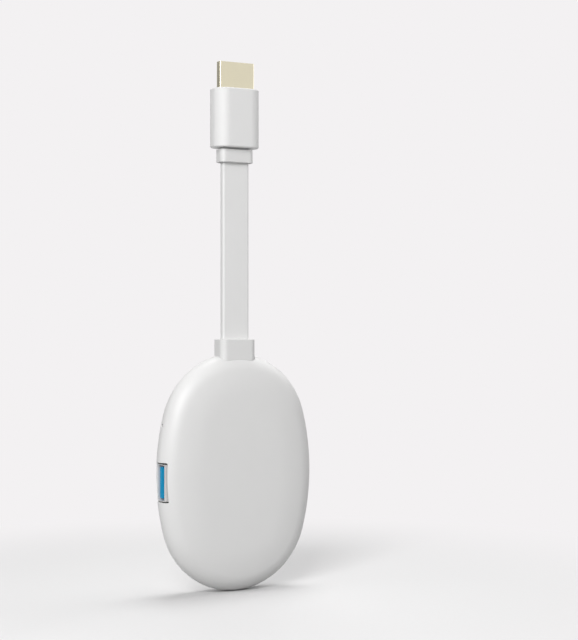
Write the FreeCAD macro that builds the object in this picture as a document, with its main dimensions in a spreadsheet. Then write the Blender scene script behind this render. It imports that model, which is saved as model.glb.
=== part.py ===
"""Streaming dongle: an oval puck on a short flat cable that ends in a video plug.

The frame is in millimetres. X runs to the right of the puck's front, -Y is the way the
front faces and Z runs up the cable. The origin is the middle of the plug's shoulder, the
face that stops against the screen's socket.
"""
import FreeCAD, Part
import math
import os

import Sketcher

Vector = FreeCAD.Vector

# Driving dimensions, in millimetres and degrees
SIZES = {
    # video plug: metal shell, its insulator and contacts
    "PlugTipLength": 9.7,
    "PlugShellWidth": 13.9,
    "PlugShellDepth": 4.45,
    "PlugShellWall": 0.35,
    "PlugShellRound": 0.35,
    "PlugBevelWidth": 1.9,
    "PlugBevelDepth": 1.75,
    "PlugShellSunk": 8.0,
    "InsulatorRecess": 0.8,
    "InsulatorTail": 1.0,
    "PlugSlotWidth": 11.3,
    "PlugSlotDepth": 2.0,
    "PlugSlotLength": 7.0,
    "PlugContactWidth": 0.5,
    "PlugContactThick": 0.2,
    "PlugContactPitch": 1.0,
    "PlugContactTail": 2.0,
    # plug housing, outside to inside
    "OvermoldWidth": 18.0,
    "OvermoldDepth": 10.9,
    "OvermoldLength": 21.4,
    "OvermoldRound": 4.8,
    "OvermoldBevel": 0.4,
    "OvermoldWall": 1.6,
    "OvermoldNose": 1.4,
    "InnerMouldBevel": 1.4,
    "CanLength": 10.6,
    "PlugTailTop": -17.5,
    "PlugBootWidth": 13.25,
    "PlugBootDepth": 6.2,
    "PlugBootLength": 5.4,
    "PlugBootRound": 2.0,
    "PlugBootTenon": 1.2,
    "PlugBootTenonInset": 0.6,
    # flat cable
    "CableWidth": 10.6,
    "CableThick": 2.8,
    "CableRound": 0.8,
    "CableLength": 64.1,
    "WireRadius": 0.3,
    # collar where the cable enters the puck
    "CollarWidth": 14.0,
    "CollarDepth": 8.35,
    "CollarRound": 2.4,
    "CollarBevel": 0.4,
    "CollarRise": 5.2,
    "CollarFlangeDrop": 6.2,
    "CollarFlangeWidth": 18.0,
    "CollarFlangeDepth": 7.6,
    "CollarFlangeThick": 1.6,
    "CollarRibWidth": 4.5,
    "CollarRibThick": 1.4,
    "CollarFit": 0.1,
    # oval housing
    "PuckHalfWidth": 30.7,
    "PuckHalfHeight": 43.2,
    "EndArcInset": 1.9,
    "EdgeRadius": 5.8,
    "EdgeSweep": 80.0,
    "DomeRadius": 80.0,
    "ShellWall": 1.5,
    "PartingBack": 3.6,
    "LipGap": 0.1,
    "LipThick": 0.8,
    "LipDepth": 1.3,
    "LipRoot": 1.0,
    "SnapWidth": 4.0,
    "SnapReach": 0.5,
    "SnapDepth": 0.9,
    "SnapX": 12.0,
    "SnapZ": 17.0,
    "BossRadius": 2.2,
    "BossX": 16.0,
    "BossTopDrop": 20.2,
    "BossBottomRise": 16.2,
    "PegRadius": 1.3,
    # circuit board and its screws
    "BoardFront": 0.9,
    "BoardThick": 1.0,
    "BoardMargin": 1.2,
    "BoardTopDrop": 12.2,
    "ScrewRadius": 0.95,
    "ScrewLength": 4.4,
    "ScrewHeadRadius": 1.8,
    "ScrewHeadThick": 1.3,
    "ScrewSocketRadius": 0.7,
    "ScrewSocketDepth": 0.8,
    "InductorPitch": 4.6,
    "CapacitorPitch": 2.6,
    "PilotRadius": 1.0,
    "PilotDepth": 5.0,
    "BoardHoleRadius": 1.15,
    # shield can and the parts that carry heat to the front
    "ShieldX": 4.5,
    "ShieldZ": -2.0,
    "ShieldWidth": 31.0,
    "ShieldHeight": 32.0,
    "ShieldDepth": 2.2,
    "ShieldWall": 0.3,
    "LidWall": 0.2,
    "LidGap": 0.05,
    "LidSkirt": 1.3,
    "SpreaderGap": 1.8,
    "SpreaderHeight": 36.0,
    "SpreaderThick": 1.2,
    "SpreaderPadSize": 24.0,
    "SpreaderPadThick": 0.8,
    "PegInset": 3.0,
    # wires, clamp and aerials on the board
    "BoardWirePitch": 1.05,
    "BoardWireRadius": 0.35,
    "BoardWireLength": 7.2,
    "TailInsideLength": 1.4,
    "ClampDrop": 14.2,
    "ClampWidth": 12.4,
    "ClampHeight": 1.6,
    "ClampThick": 0.3,
    "ClampFoot": 1.0,
    "AntennaThick": 0.4,
    "AntennaLength": 12.0,
    "AntennaStand": 3.6,
    "AntennaSideInset": 6.7,
    "AntennaSideZ": 0.5,
    "AntennaTopX": -14.5,
    "AntennaTopDrop": 15.7,
    # data port in the left side
    "DataPortZ": -2.6,
    "DataOpeningLength": 14.4,
    "DataOpeningFront": -4.0,
    "DataOpeningDepth": 2.8,
    "DataMouthInset": 1.5,
    "DataShellLength": 14.0,
    "DataShellWidth": 13.2,
    "DataShellDepth": 5.9,
    "DataShellMiddle": -0.2,
    "DataShellWall": 0.3,
    "DataShellRound": 0.5,
    "DataTongueRecess": 0.5,
    "DataTongueWidth": 11.1,
    "DataTongueThick": 2.1,
    "DataTongueBack": 1.9,
    "DataBaseLength": 2.6,
    "DataContactThick": 0.2,
    "DataLongPitch": 2.5,
    "DataLongWidth": 1.1,
    "DataShortPitch": 1.85,
    "DataShortWidth": 0.6,
    "DataShortLength": 2.2,
    "DataContactTail": 0.6,
    "DataTabWidth": 1.4,
    "DataTabLength": 3.0,
    # power port in the lower end
    "PowerOpeningWidth": 9.8,
    "PowerOpeningDepth": 4.1,
    "PowerShellWidth": 8.94,
    "PowerShellDepth": 3.26,
    "PowerShellLength": 7.35,
    "PowerShellWall": 0.3,
    "PowerShellMiddle": 0.2,
    "PowerMouthInset": 0.2,
    "PowerTongueWidth": 6.7,
    "PowerTongueThick": 0.7,
    "PowerTongueRecess": 0.9,
    "PowerBaseLength": 1.6,
    "PowerContactPitch": 0.5,
    "PowerContactWidth": 0.25,
    "PowerContactThick": 0.08,
    "PowerContactTail": 0.3,
    "PowerTabWidth": 1.2,
    "PowerTabLength": 2.0,
    "TabThick": 0.3,
    # reset switch behind a pinhole in the left side
    "ResetZ": 17.7,
    "PinholeRadius": 0.65,
    "SwitchInset": 3.2,
    "SwitchLength": 3.4,
    "SwitchHeight": 3.5,
    "SwitchThick": 1.7,
    "PlungerProud": 1.3,
    "PlungerLength": 2.3,
    "PlungerHeight": 1.5,
    "PlungerThick": 0.9,
    "PlungerGap": 0.1,
    "PlungerTravel": 0.25,
    "PortNotchGap": 0.2,
}

# Chips on the board: middle x, middle z from the puck's middle, width, height, thickness
CHIPS = {
    "Processor": (-1.0, -2.0, 15.0, 15.0, 1.3),
    "MemoryLow": (13.5, -10.0, 9.0, 11.0, 1.0),
    "MemoryHigh": (13.5, 5.5, 9.0, 11.0, 1.0),
    "PowerChip": (-6.5, 9.5, 5.0, 5.0, 0.9),
    "Storage": (-5.0, -8.0, 11.5, 13.0, 1.1),
    "Radio": (6.0, 12.0, 12.0, 12.0, 1.8),
    "Crystal": (8.0, -24.5, 3.2, 2.5, 0.8),
    "Inductor": (-8.0, -24.5, 3.2, 3.2, 1.6),
    "Capacitor": (-12.0, -18.0, 0.8, 1.6, 0.8),
}

# How many of each repeated piece
INDUCTOR_COUNT = 3
CAPACITOR_COUNT = 9
PLUG_FRONT_COUNT = 10
PLUG_BACK_COUNT = 9
BOARD_WIRE_COUNT = 9
POWER_CONTACT_COUNT = 12
DATA_LONG_COUNT = 4
DATA_SHORT_COUNT = 5
SCREW_SIDE_COUNT = 12

# Straight steps along the housing's edge arc and its dome, outside and inside
OUTSIDE_STEPS = (4, 2)
INSIDE_STEPS = (2, 1)

# Places worked out from the driving dimensions
PLACES = {
    "CableTop": "-(sizes.OvermoldLength + sizes.PlugBootLength)",
    "CableEnd": "places.CableTop - sizes.CableLength",
    "PuckTop": "places.CableEnd - sizes.CollarRise",
    "PuckZ": "places.PuckTop - sizes.PuckHalfHeight",
    "PuckEnd": "places.PuckZ - sizes.PuckHalfHeight",
    "BossTop": "places.PuckTop - sizes.BossTopDrop",
    "BossBottom": "places.PuckEnd + sizes.BossBottomRise",
    "EndRadius": "sizes.PuckHalfWidth - sizes.EndArcInset",
    "EndCentre": "sizes.PuckHalfHeight - places.EndRadius",
    "SideRadius": "sizes.PuckHalfHeight"
                  " + (sizes.PuckHalfHeight - sizes.PuckHalfWidth)^2 / (2 * sizes.EndArcInset)",
    "HalfThick": "sizes.EdgeRadius * sin(sizes.EdgeSweep * 1 deg)"
                 " + sizes.DomeRadius * (1 - sin(sizes.EdgeSweep * 1 deg))",
    "BoardBack": "sizes.BoardFront + sizes.BoardThick",
    "FlangeTop": "places.PuckTop - sizes.CollarFlangeDrop",
    "FlangeEnd": "places.FlangeTop - sizes.CollarFlangeThick",
    "TailEnd": "places.FlangeEnd - sizes.TailInsideLength",
    "ShellEnd": "-sizes.PlugShellSunk",
    "CanEnd": "places.ShellEnd - sizes.CanLength",
    "MouldEnd": "-sizes.OvermoldLength + sizes.PlugBootTenon",
    "InsulatorEnd": "places.ShellEnd - sizes.InsulatorTail",
    "DataZ": "places.PuckZ + sizes.DataPortZ",
    "DataFront": "sizes.DataShellMiddle - sizes.DataShellDepth / 2",
    "DataBack": "sizes.DataShellMiddle + sizes.DataShellDepth / 2",
    "DataMouthX": "-(sizes.PuckHalfWidth - sizes.DataMouthInset)",
    "DataEndX": "places.DataMouthX + sizes.DataShellLength",
    "DataTongueFront": "sizes.DataTongueBack - sizes.DataTongueThick",
    "PowerMouth": "places.PuckEnd + sizes.ShellWall + sizes.PowerMouthInset",
    "PowerEnd": "places.PowerMouth + sizes.PowerShellLength",
    "SwitchMiddle": "sizes.BoardFront - sizes.SwitchThick / 2",
    "SwitchZ": "places.PuckZ + sizes.ResetZ",
    "PinholeWallX": "-(sizes.PuckHalfWidth - places.SideRadius"
                    " + sqrt(places.SideRadius^2 - sizes.ResetZ^2))",
    "SwitchOuterX": "places.PinholeWallX + sizes.SwitchInset",
    "AntennaSideX": "sizes.PuckHalfWidth - sizes.AntennaSideInset",
    "LidFront": "sizes.BoardFront - sizes.ShieldDepth - sizes.LidWall",
    "SpreaderBack": "places.LidFront - sizes.SpreaderPadThick",
    "SpreaderFront": "places.SpreaderBack - sizes.SpreaderThick",
    "ShieldMiddleZ": "places.PuckZ + sizes.ShieldZ",
    "SpreaderLow": "sizes.ShieldX - sizes.ShieldWidth / 2",
    "SpreaderHigh": "places.AntennaSideX - sizes.AntennaThick / 2 - sizes.SpreaderGap",
}

doc = FreeCAD.newDocument("streaming_dongle")
sub_parts = []


def fill_sheet(name, entries, as_formula):
    """Write named values down one column of a new sheet."""
    sheet = doc.addObject("Spreadsheet::Sheet", name)
    for row, (alias, value) in enumerate(entries.items(), start=1):
        cell = f"B{row}"
        sheet.set(f"A{row}", alias)
        sheet.setAlias(cell, alias)
        sheet.set(cell, f"={value}" if as_formula else str(value))
    doc.recompute()
    return sheet


def chip_sizes():
    """The chips' places and sizes as named values."""
    fields = ("X", "Z", "Width", "Height", "Thick")
    return {chip + field: value
            for chip, values in CHIPS.items()
            for field, value in zip(fields, values)}


sizes = fill_sheet("sizes", {**SIZES, **chip_sizes()}, as_formula=False)
places = fill_sheet("places", {alias: text.replace("places.", "")
                               for alias, text in PLACES.items()}, as_formula=True)


def number(expression):
    """The value of an expression on the sheets."""
    return float(sizes.evalExpression(expression))


def keep(item, label):
    """Name a finished sub-part."""
    item.Label = label
    sub_parts.append(item)
    return item


# Plain solids and booleans

def block(name, x, y, z):
    """A box between a low and a high expression along each axis."""
    item = doc.addObject("Part::Box", name)
    for size, axis, (low, high) in zip(("Length", "Width", "Height"), "xyz", (x, y, z)):
        item.setExpression(size, f"({high}) - ({low})")
        item.setExpression(f".Placement.Base.{axis}", low)
    return item


def middle(centre, size):
    """The low and high expressions of a span about a centre."""
    return f"({centre}) - ({size}) / 2", f"({centre}) + ({size}) / 2"


def rod(name, axis, centre, low, high, radius, sides=0):
    """A rod along an axis between two expressions: round, or a prism with some sides."""
    turns = {"x": (Vector(0, 1, 0), 90), "y": (Vector(1, 0, 0), -90), "z": (Vector(0, 0, 1), 0)}
    item = doc.addObject("Part::Prism" if sides else "Part::Cylinder", name)
    if sides:
        item.Polygon = sides
    item.Placement = FreeCAD.Placement(Vector(), FreeCAD.Rotation(*turns[axis]))
    item.setExpression("Circumradius" if sides else "Radius", radius)
    item.setExpression("Height", f"({high}) - ({low})")
    where = dict(zip("xyz".replace(axis, ""), centre))
    where[axis] = low
    for letter, expression in where.items():
        item.setExpression(f".Placement.Base.{letter}", expression)
    return item


def cut(name, base, tool):
    """The base without the tool."""
    item = doc.addObject("Part::Cut", name)
    item.Base, item.Tool = base, tool
    return item


def common(name, base, tool):
    """What the base and the tool share."""
    item = doc.addObject("Part::Common", name)
    item.Base, item.Tool = base, tool
    return item


def fuse(name, members):
    """One solid out of several."""
    item = doc.addObject("Part::MultiFuse", name)
    item.Shapes = members
    return item


def group(name, members):
    """Separate solids under one name."""
    item = doc.addObject("Part::Compound", name)
    item.Links = members
    return item


# Bodies padded from a sketch

SKETCH_TURN = {"x": FreeCAD.Rotation(Vector(1, 1, 1), 120), "z": FreeCAD.Rotation()}


def outline_sketch(body, corners):
    """A closed outline whose corners are held at expressions."""
    plane = next(f for f in body.Origin.OriginFeatures if f.Role == "XY_Plane")
    sketch = body.newObject("Sketcher::SketchObject", f"{body.Name}_outline")
    sketch.AttachmentSupport = [(plane, "")]
    sketch.MapMode = "FlatFace"
    points = [Vector(number(x), number(y), 0) for x, y in corners]
    for start, end in zip(points, points[1:] + points[:1]):
        sketch.addGeometry(Part.LineSegment(start, end))
    for index, point in enumerate(points):
        after = (index + 1) % len(points)
        sketch.addConstraint(Sketcher.Constraint("Coincident", index, 2, after, 1))
        for kind, value, text in zip(("DistanceX", "DistanceY"), point, corners[index]):
            held = sketch.addConstraint(Sketcher.Constraint(kind, -1, 1, index, 1, value))
            sketch.setExpression(f"Constraints[{held}]", text)
    return sketch


def long_edges(shape):
    """Names of the straight edges that run along a pad."""
    return [f"Edge{index}" for index, edge in enumerate(shape.Edges, start=1)
            if isinstance(edge.Curve, Part.Line)
            and abs(edge.tangentAt(edge.FirstParameter).z) > 0.999]


def end_edges(shape, levels):
    """Names of the edges that lie whole in the ends of a pad."""
    return [f"Edge{index}" for index, edge in enumerate(shape.Edges, start=1)
            if edge.BoundBox.ZLength < 1e-4
            and any(abs(edge.BoundBox.ZMin - level) < 1e-4 for level in levels)]


def dressed(body, kind, size, base, names, expression):
    """A fillet or chamfer of a body's edges."""
    feature = body.newObject(f"PartDesign::{kind}", f"{body.Name}_{kind.lower()}")
    feature.Base = (base, names)
    feature.setExpression(size, expression)
    doc.recompute()
    return feature


def padded(name, corners, low, high, side_round=None, end_bevel=None, side_bevel=None,
           axis="z", bevel_low=True):
    """A body padded along an axis, with dressed long edges and then bevelled end edges.

    Along X the corners are given as (y, z), and along Z as (x, y).
    """
    body = doc.addObject("PartDesign::Body", name)
    pad = body.newObject("PartDesign::Pad", f"{name}_pad")
    pad.Profile = outline_sketch(body, corners)
    pad.setExpression("Length", f"({high}) - ({low})")
    doc.recompute()
    last = pad
    if side_round:
        last = dressed(body, "Fillet", "Radius", last, long_edges(last.Shape), side_round)
    if side_bevel:
        last = dressed(body, "Chamfer", "Size", last, long_edges(last.Shape), side_bevel)
    if end_bevel:
        levels = [number(f"({high}) - ({low})")] + [0.0] * bevel_low
        dressed(body, "Chamfer", "Size", last, end_edges(last.Shape, levels), end_bevel)
    body.Placement = FreeCAD.Placement(Vector(), SKETCH_TURN[axis])
    body.setExpression(f".Placement.Base.{axis}", low)
    return body


def rectangle(width, height, x="0", y="0"):
    """Corner expressions of a rectangle about a middle."""
    low_x, high_x = middle(x, width)
    low_y, high_y = middle(y, height)
    return [(low_x, low_y), (high_x, low_y), (high_x, high_y), (low_x, high_y)]


def slot_bar(name, width, depth, y, low, high):
    """A bar along Z whose section is a slot with round ends."""
    return padded(name, rectangle(width, depth, y=y), low, high, f"({depth}) * 0.499")


def plug_outline(inset):
    """The plug's outline: a bevel at each end of the side that faces back."""
    half_width = f"(sizes.PlugShellWidth / 2 - {inset})"
    half_depth = f"(sizes.PlugShellDepth / 2 - {inset})"
    right = [
        (half_width, f"-{half_depth}"),
        (half_width, f"{half_depth} - sizes.PlugBevelDepth"),
        (f"({half_width} - sizes.PlugBevelWidth)", half_depth),
    ]
    return right + [(f"-{x}", y) for x, y in reversed(right)]


def mirrored(span):
    """A span along X and its mirror image."""
    low, high = span
    return span, (f"-({high})", f"-({low})")


def row_places(count, pitch, start="0"):
    """Middles of a row that is centred on a start."""
    return [f"{start} + {index - (count - 1) / 2} * ({pitch})" for index in range(count)]


# The puck's pillow form: one profile carried round an outline of four arcs

class Oval:
    """The outline's four arcs and the edge profile, read from the sheets."""

    def __init__(self):
        self.end_radius = number("places.EndRadius")
        self.side_radius = number("places.SideRadius")
        self.end_centre = number("places.EndCentre")
        self.side_centre = self.side_radius - number("sizes.PuckHalfWidth")
        self.seam = math.degrees(math.atan2(self.end_centre, self.side_centre))
        self.core_radius = self.side_radius - self.end_radius

    def arcs(self):
        """Centre, inner and outer radius, first angle and sweep of each arc in turn."""
        for sign, turn in ((1, 0), (-1, 180)):
            yield (Vector(-sign * self.side_centre, 0, 0), self.core_radius, self.side_radius,
                   turn - self.seam, 2 * self.seam)
            yield (Vector(0, 0, sign * self.end_centre), 0.0, self.end_radius,
                   turn + self.seam, 180 - 2 * self.seam)

    def profile(self, inner, outer, inset, edge_steps, dome_steps):
        """Half of the section: a rounded edge that runs into a shallow dome and a flat middle.

        Both arcs are walked in straight steps, which keeps the facets few.
        """
        sweep = math.radians(number("sizes.EdgeSweep"))
        edge = number("sizes.EdgeRadius") - inset
        dome = number("sizes.DomeRadius") - inset
        edge_middle = outer - edge
        dome_middle = edge_middle - (dome - edge) * math.cos(sweep)
        lift = (dome - edge) * math.sin(sweep)
        rear = []
        for step in range(edge_steps + 1):
            angle = sweep * step / edge_steps
            rear.append(Vector(edge_middle + edge * math.cos(angle), edge * math.sin(angle), 0))
        for step in range(1, dome_steps + 1):
            angle = sweep + (math.pi / 2 - sweep) * step / dome_steps
            rear.append(Vector(dome_middle + dome * math.cos(angle),
                               dome * math.sin(angle) - lift, 0))
        rear.append(Vector(inner, rear[-1].y, 0))
        front = [Vector(point.x, -point.y, 0) for point in reversed(rear[1:])]
        return Part.Face(Part.makePolygon(front + rear + front[:1]))

    def core(self, reach):
        """The narrow lens between the two side sectors."""
        foot, tip = Vector(0, -reach, -self.end_centre), Vector(0, -reach, self.end_centre)
        bulge = self.core_radius - self.side_centre
        sides = [Part.Arc(foot, Vector(bulge, -reach, 0), tip),
                 Part.Arc(tip, Vector(-bulge, -reach, 0), foot)]
        outline = Part.Wire([side.toShape() for side in sides])
        return Part.Face(outline).extrude(Vector(0, 2 * reach, 0))

    def cushion(self, inset, edge_steps, dome_steps):
        """The whole form, with its surface moved inwards by an inset."""
        axis = Vector(0, -1, 0)
        pieces = []
        for centre, inner, outer, start, sweep in self.arcs():
            face = self.profile(inner, outer - inset, inset, edge_steps, dome_steps)
            face.translate(centre)
            face.rotate(centre, axis, start)
            pieces.append(face.revolve(centre, axis, sweep))
        core = self.core(number("places.HalfThick") - inset)
        return core.multiFuse(pieces).removeSplitter().Solids[0]

    def inset_at(self, level, inset, edge_steps):
        """How far inside the outline the stepped edge lies at a level of Y."""
        edge = number("sizes.EdgeRadius") - inset
        step = math.radians(number("sizes.EdgeSweep")) / edge_steps
        first = int(math.asin(level / edge) / step)
        near, far = first * step, (first + 1) * step
        share = (level - edge * math.sin(near)) / (edge * (math.sin(far) - math.sin(near)))
        reach = math.cos(near) + share * (math.cos(far) - math.cos(near))
        return number("sizes.EdgeRadius") - edge * reach

    def slab(self, inset, low, high):
        """A flat plate with the outline moved inwards, between two levels of Y."""
        edges = []
        for centre, _, outer, start, sweep in self.arcs():
            angles = [math.radians(start + part * sweep) for part in (0, 0.5, 1)]
            points = [centre + Vector(0, low, 0)
                      + Vector(math.cos(angle), 0, math.sin(angle)) * (outer - inset)
                      for angle in angles]
            edges.append(Part.Arc(*points).toShape())
        return Part.Face(Part.Wire(edges)).extrude(Vector(0, high - low, 0))


def in_puck(name, shape):
    """A solid with curves of its own, placed at the puck's middle."""
    item = doc.addObject("Part::Feature", name)
    item.Shape = shape
    item.setExpression(".Placement.Base.z", "places.PuckZ")
    return item


oval = Oval()
FAR = "2 * sizes.PuckHalfHeight"
BELOW = f"places.PuckZ - {FAR}"
INSIDE_FRONT = "-(places.HalfThick - sizes.ShellWall / 2)"


# Video plug and cable

def make_plug_core():
    """Metal shell, insulator, contacts and the wires soldered to them."""
    tip, end = "sizes.PlugTipLength", "places.ShellEnd"
    outer = padded("plug_shell_outer", plug_outline("0"), end, tip, "sizes.PlugShellRound")
    inner = padded("plug_shell_inner", plug_outline("sizes.PlugShellWall"), end, tip)
    keep(cut("plug_shell_cut", outer, inner), "plug_shell")

    front, back = "sizes.PlugTipLength - sizes.InsulatorRecess", "places.InsulatorEnd"
    filling = padded("insulator_filling", plug_outline("sizes.PlugShellWall"), back, front)
    slot = block("plug_slot", middle("0", "sizes.PlugSlotWidth"),
                 middle("0", "sizes.PlugSlotDepth"), (f"{front} - sizes.PlugSlotLength", tip))
    wall, thick = "sizes.PlugSlotDepth / 2", "sizes.PlugContactThick"
    rows = ((PLUG_FRONT_COUNT, -1, (f"-{wall}", f"-{wall} + {thick}")),
            (PLUG_BACK_COUNT, 1, (f"{wall} - {thick}", wall)))
    contact_z = (f"{back} - sizes.PlugContactTail", f"{front} - sizes.PlugContactPitch / 2")
    contacts, wires = [], []
    for count, side, across in rows:
        wire_y = f"{side} * ({wall} - {thick} - sizes.WireRadius)"
        for x in row_places(count, "sizes.PlugContactPitch"):
            contacts.append(block("plug_contact", middle(x, "sizes.PlugContactWidth"),
                                  across, contact_z))
            wires.append(rod("plug_wire", "z", (x, wire_y), "sizes.PlugTailTop",
                             f"{back} - {thick}", "sizes.WireRadius", sides=6))
    row = keep(group("plug_contact_rows", contacts), "plug_contacts")
    keep(group("plug_wire_ends", wires), "plug_wires")
    keep(cut("insulator_grooved", cut("insulator_slotted", filling, slot), row),
         "plug_insulator")
    return outer


def make_plug_cover(shell):
    """Rear can, inner mould, outer housing and cable boot."""
    tail = padded("tail_in_plug", rectangle("sizes.CableWidth", "sizes.CableThick"),
                  "places.CableTop", "sizes.PlugTailTop", "sizes.CableRound")
    keep(tail, "cable_tail_plug")
    width, depth, wall = "sizes.PlugShellWidth", "sizes.PlugShellDepth", "sizes.PlugShellWall"
    can = block("can_outer", middle("0", width), middle("0", depth),
                ("places.CanEnd", "places.ShellEnd"))
    can_room = block("can_room", middle("0", f"({width} - 2 * {wall})"),
                     middle("0", f"({depth} - 2 * {wall})"),
                     (f"places.CanEnd + {wall}", "places.ShellEnd"))
    keep(cut("can_bored", cut("can_hollow", can, can_room), tail), "plug_rear_can")

    mould = padded("inner_mould_block",
                   rectangle("(sizes.OvermoldWidth - 2 * sizes.OvermoldWall)",
                             "(sizes.OvermoldDepth - 2 * sizes.OvermoldWall)"),
                   "places.MouldEnd", "-sizes.OvermoldNose",
                   side_bevel="sizes.InnerMouldBevel")
    metal = fuse("plug_metal", [shell, can])
    keep(cut("inner_mould_bored", cut("inner_mould_hollow", mould, metal), tail),
         "plug_inner_mould")

    tenon = padded("boot_tenon",
                   rectangle("(sizes.PlugBootWidth - 2 * sizes.PlugBootTenonInset)",
                             "(sizes.PlugBootDepth - 2 * sizes.PlugBootTenonInset)"),
                   "-sizes.OvermoldLength", "places.MouldEnd")
    sleeve = padded("overmold_block", rectangle("sizes.OvermoldWidth", "sizes.OvermoldDepth"),
                    "-sizes.OvermoldLength", "0", "sizes.OvermoldRound", "sizes.OvermoldBevel")
    hollow = fuse("overmold_hollow", [mould, shell, tenon])
    keep(cut("overmold_cut", sleeve, hollow), "plug_overmold")
    boot = padded("boot_block", rectangle("sizes.PlugBootWidth", "sizes.PlugBootDepth"),
                  "places.CableTop", "-sizes.OvermoldLength", "sizes.PlugBootRound")
    keep(cut("boot_bored", fuse("boot_whole", [boot, tenon]), tail), "plug_boot")


def make_cable():
    """The free cable, and its end inside the puck with collar, wires and clamp."""
    section = rectangle("sizes.CableWidth", "sizes.CableThick")
    keep(padded("cable_run", section, "places.CableEnd", "places.CableTop",
                "sizes.CableRound"), "flat_cable")
    tail = padded("tail_in_puck", section, "places.TailEnd", "places.CableEnd",
                  "sizes.CableRound")
    keep(tail, "cable_tail_puck")
    neck = padded("collar_neck", rectangle("sizes.CollarWidth", "sizes.CollarDepth"),
                  "places.FlangeEnd", "places.CableEnd", "sizes.CollarRound",
                  "sizes.CollarBevel", bevel_low=False)
    flange = block("collar_flange", middle("0", "sizes.CollarFlangeWidth"),
                   middle("0", "sizes.CollarFlangeDepth"),
                   ("places.FlangeEnd", "places.FlangeTop"))
    keep(cut("collar_bored", fuse("collar_whole", [neck, flange]), tail), "cable_collar")

    wire_y = "sizes.BoardFront - sizes.BoardWireRadius"
    wires = [rod("board_wire", "z", (x, wire_y), "places.TailEnd - sizes.BoardWireLength",
                 "places.TailEnd", "sizes.BoardWireRadius", sides=6)
             for x in row_places(BOARD_WIRE_COUNT, "sizes.BoardWirePitch")]
    keep(group("board_wire_ends", wires), "cable_wires")

    strap_z = middle("places.PuckTop - sizes.ClampDrop", "sizes.ClampHeight")
    strap_back = "sizes.BoardFront - 2 * sizes.BoardWireRadius"
    strap_front = f"{strap_back} - sizes.ClampThick"
    side = "sizes.ClampWidth / 2"
    strap = [block("strap_bridge", middle("0", "sizes.ClampWidth"),
                   (strap_front, strap_back), strap_z)]
    for x in mirrored((f"{side} - sizes.ClampThick", side)):
        strap.append(block("strap_leg", x, (strap_front, "sizes.BoardFront"), strap_z))
    for x in mirrored((f"{side} - sizes.ClampThick", f"{side} + sizes.ClampFoot")):
        strap.append(block("strap_foot", x, ("sizes.BoardFront - sizes.ClampThick",
                                             "sizes.BoardFront"), strap_z))
    keep(fuse("strap_whole", strap), "cable_clamp")


# Housing

def boss_places():
    """Middles of the four screw bosses."""
    return [(f"{side} * sizes.BossX", level)
            for level in ("places.BossTop", "places.BossBottom") for side in (-1, 1)]


def peg_places():
    """Middles of the pegs under the heat spreader's corners."""
    return [(x, f"places.ShieldMiddleZ + {level} * (sizes.SpreaderHeight / 2 - sizes.PegInset)")
            for x in ("places.SpreaderLow + sizes.PegInset",
                      "places.SpreaderHigh - sizes.PegInset")
            for level in (-1, 1)]


def front_posts():
    """Bosses, pegs and collar ribs that stand on the front's inside."""
    posts = [rod("boss", "y", place, INSIDE_FRONT, "sizes.BoardFront", "sizes.BossRadius")
             for place in boss_places()]
    posts += [rod("peg", "y", place, INSIDE_FRONT, "places.SpreaderFront", "sizes.PegRadius")
              for place in peg_places()]
    start = "sizes.CollarWidth / 2 + 2 * sizes.CollarFit"
    rib_z = "places.FlangeTop + sizes.CollarFit"
    for x in mirrored((start, f"{start} + sizes.CollarRibWidth")):
        posts.append(block("collar_rib", x, (INSIDE_FRONT, "places.BoardBack"),
                           (rib_z, f"{rib_z} + sizes.CollarRibThick")))
    return fuse("front_post_set", posts)


def make_shells():
    """Front and rear shell, which part in a plane near the back."""
    wall, parting = "sizes.ShellWall", "sizes.PartingBack"
    outer = in_puck("housing_outer", oval.cushion(0.0, *OUTSIDE_STEPS))
    inner = in_puck("housing_inner", oval.cushion(number(wall), *INSIDE_STEPS))
    within = in_puck("housing_within", oval.cushion(number(wall) / 2, *INSIDE_STEPS))
    wide, around = (f"-({FAR})", FAR), (BELOW, f"places.PuckZ + {FAR}")
    front_zone = block("front_zone", wide, (f"-({FAR})", parting), around)
    back_zone = block("back_zone", wide, (parting, FAR), around)

    fit = "2 * sizes.CollarFit"
    collar_hole = padded("collar_hole", rectangle(f"(sizes.CollarWidth + {fit})",
                                                  f"(sizes.CollarDepth + {fit})"),
                         "places.FlangeEnd", "places.CableEnd",
                         "sizes.CollarRound + sizes.CollarFit")
    data_hole = block("data_hole",
                      (f"-({FAR})", "places.DataMouthX + sizes.DataOpeningDepth"),
                      ("sizes.DataOpeningFront", parting),
                      middle("places.DataZ", "sizes.DataOpeningLength"))
    power_hole = slot_bar("power_hole", "sizes.PowerOpeningWidth", "sizes.PowerOpeningDepth",
                          "sizes.PowerShellMiddle", BELOW, f"places.PowerMouth + {wall}")
    pinhole = rod("pinhole", "x", ("places.SwitchMiddle", "places.SwitchZ"), f"-({FAR})",
                  "places.SwitchOuterX", "sizes.PinholeRadius")
    pilots = [rod("pilot", "y", place, "sizes.BoardFront - sizes.PilotDepth",
                  "sizes.BoardFront", "sizes.PilotRadius") for place in boss_places()]

    dish = cut("front_dish", common("front_half", outer, front_zone), inner)
    posts = common("front_posts", front_posts(), within)
    holes = fuse("front_holes", [collar_hole, data_hole, power_hole, pinhole, *pilots])
    keep(cut("front_cut", fuse("front_whole", [dish, posts]), holes), "front_shell")

    rear = cut("rear_dish", common("rear_half", outer, back_zone), inner)
    lip = make_lip()
    keep(cut("rear_cut", fuse("rear_whole", [rear, lip]), collar_hole), "rear_shell")


def band(name, inset, thick, low, high):
    """A band of even thickness that follows the outline, between two levels of Y."""
    outside = in_puck(f"{name}_outside", oval.slab(inset, low, high))
    inside = in_puck(f"{name}_inside", oval.slab(inset + thick, low, high))
    return cut(name, outside, inside)


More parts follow.
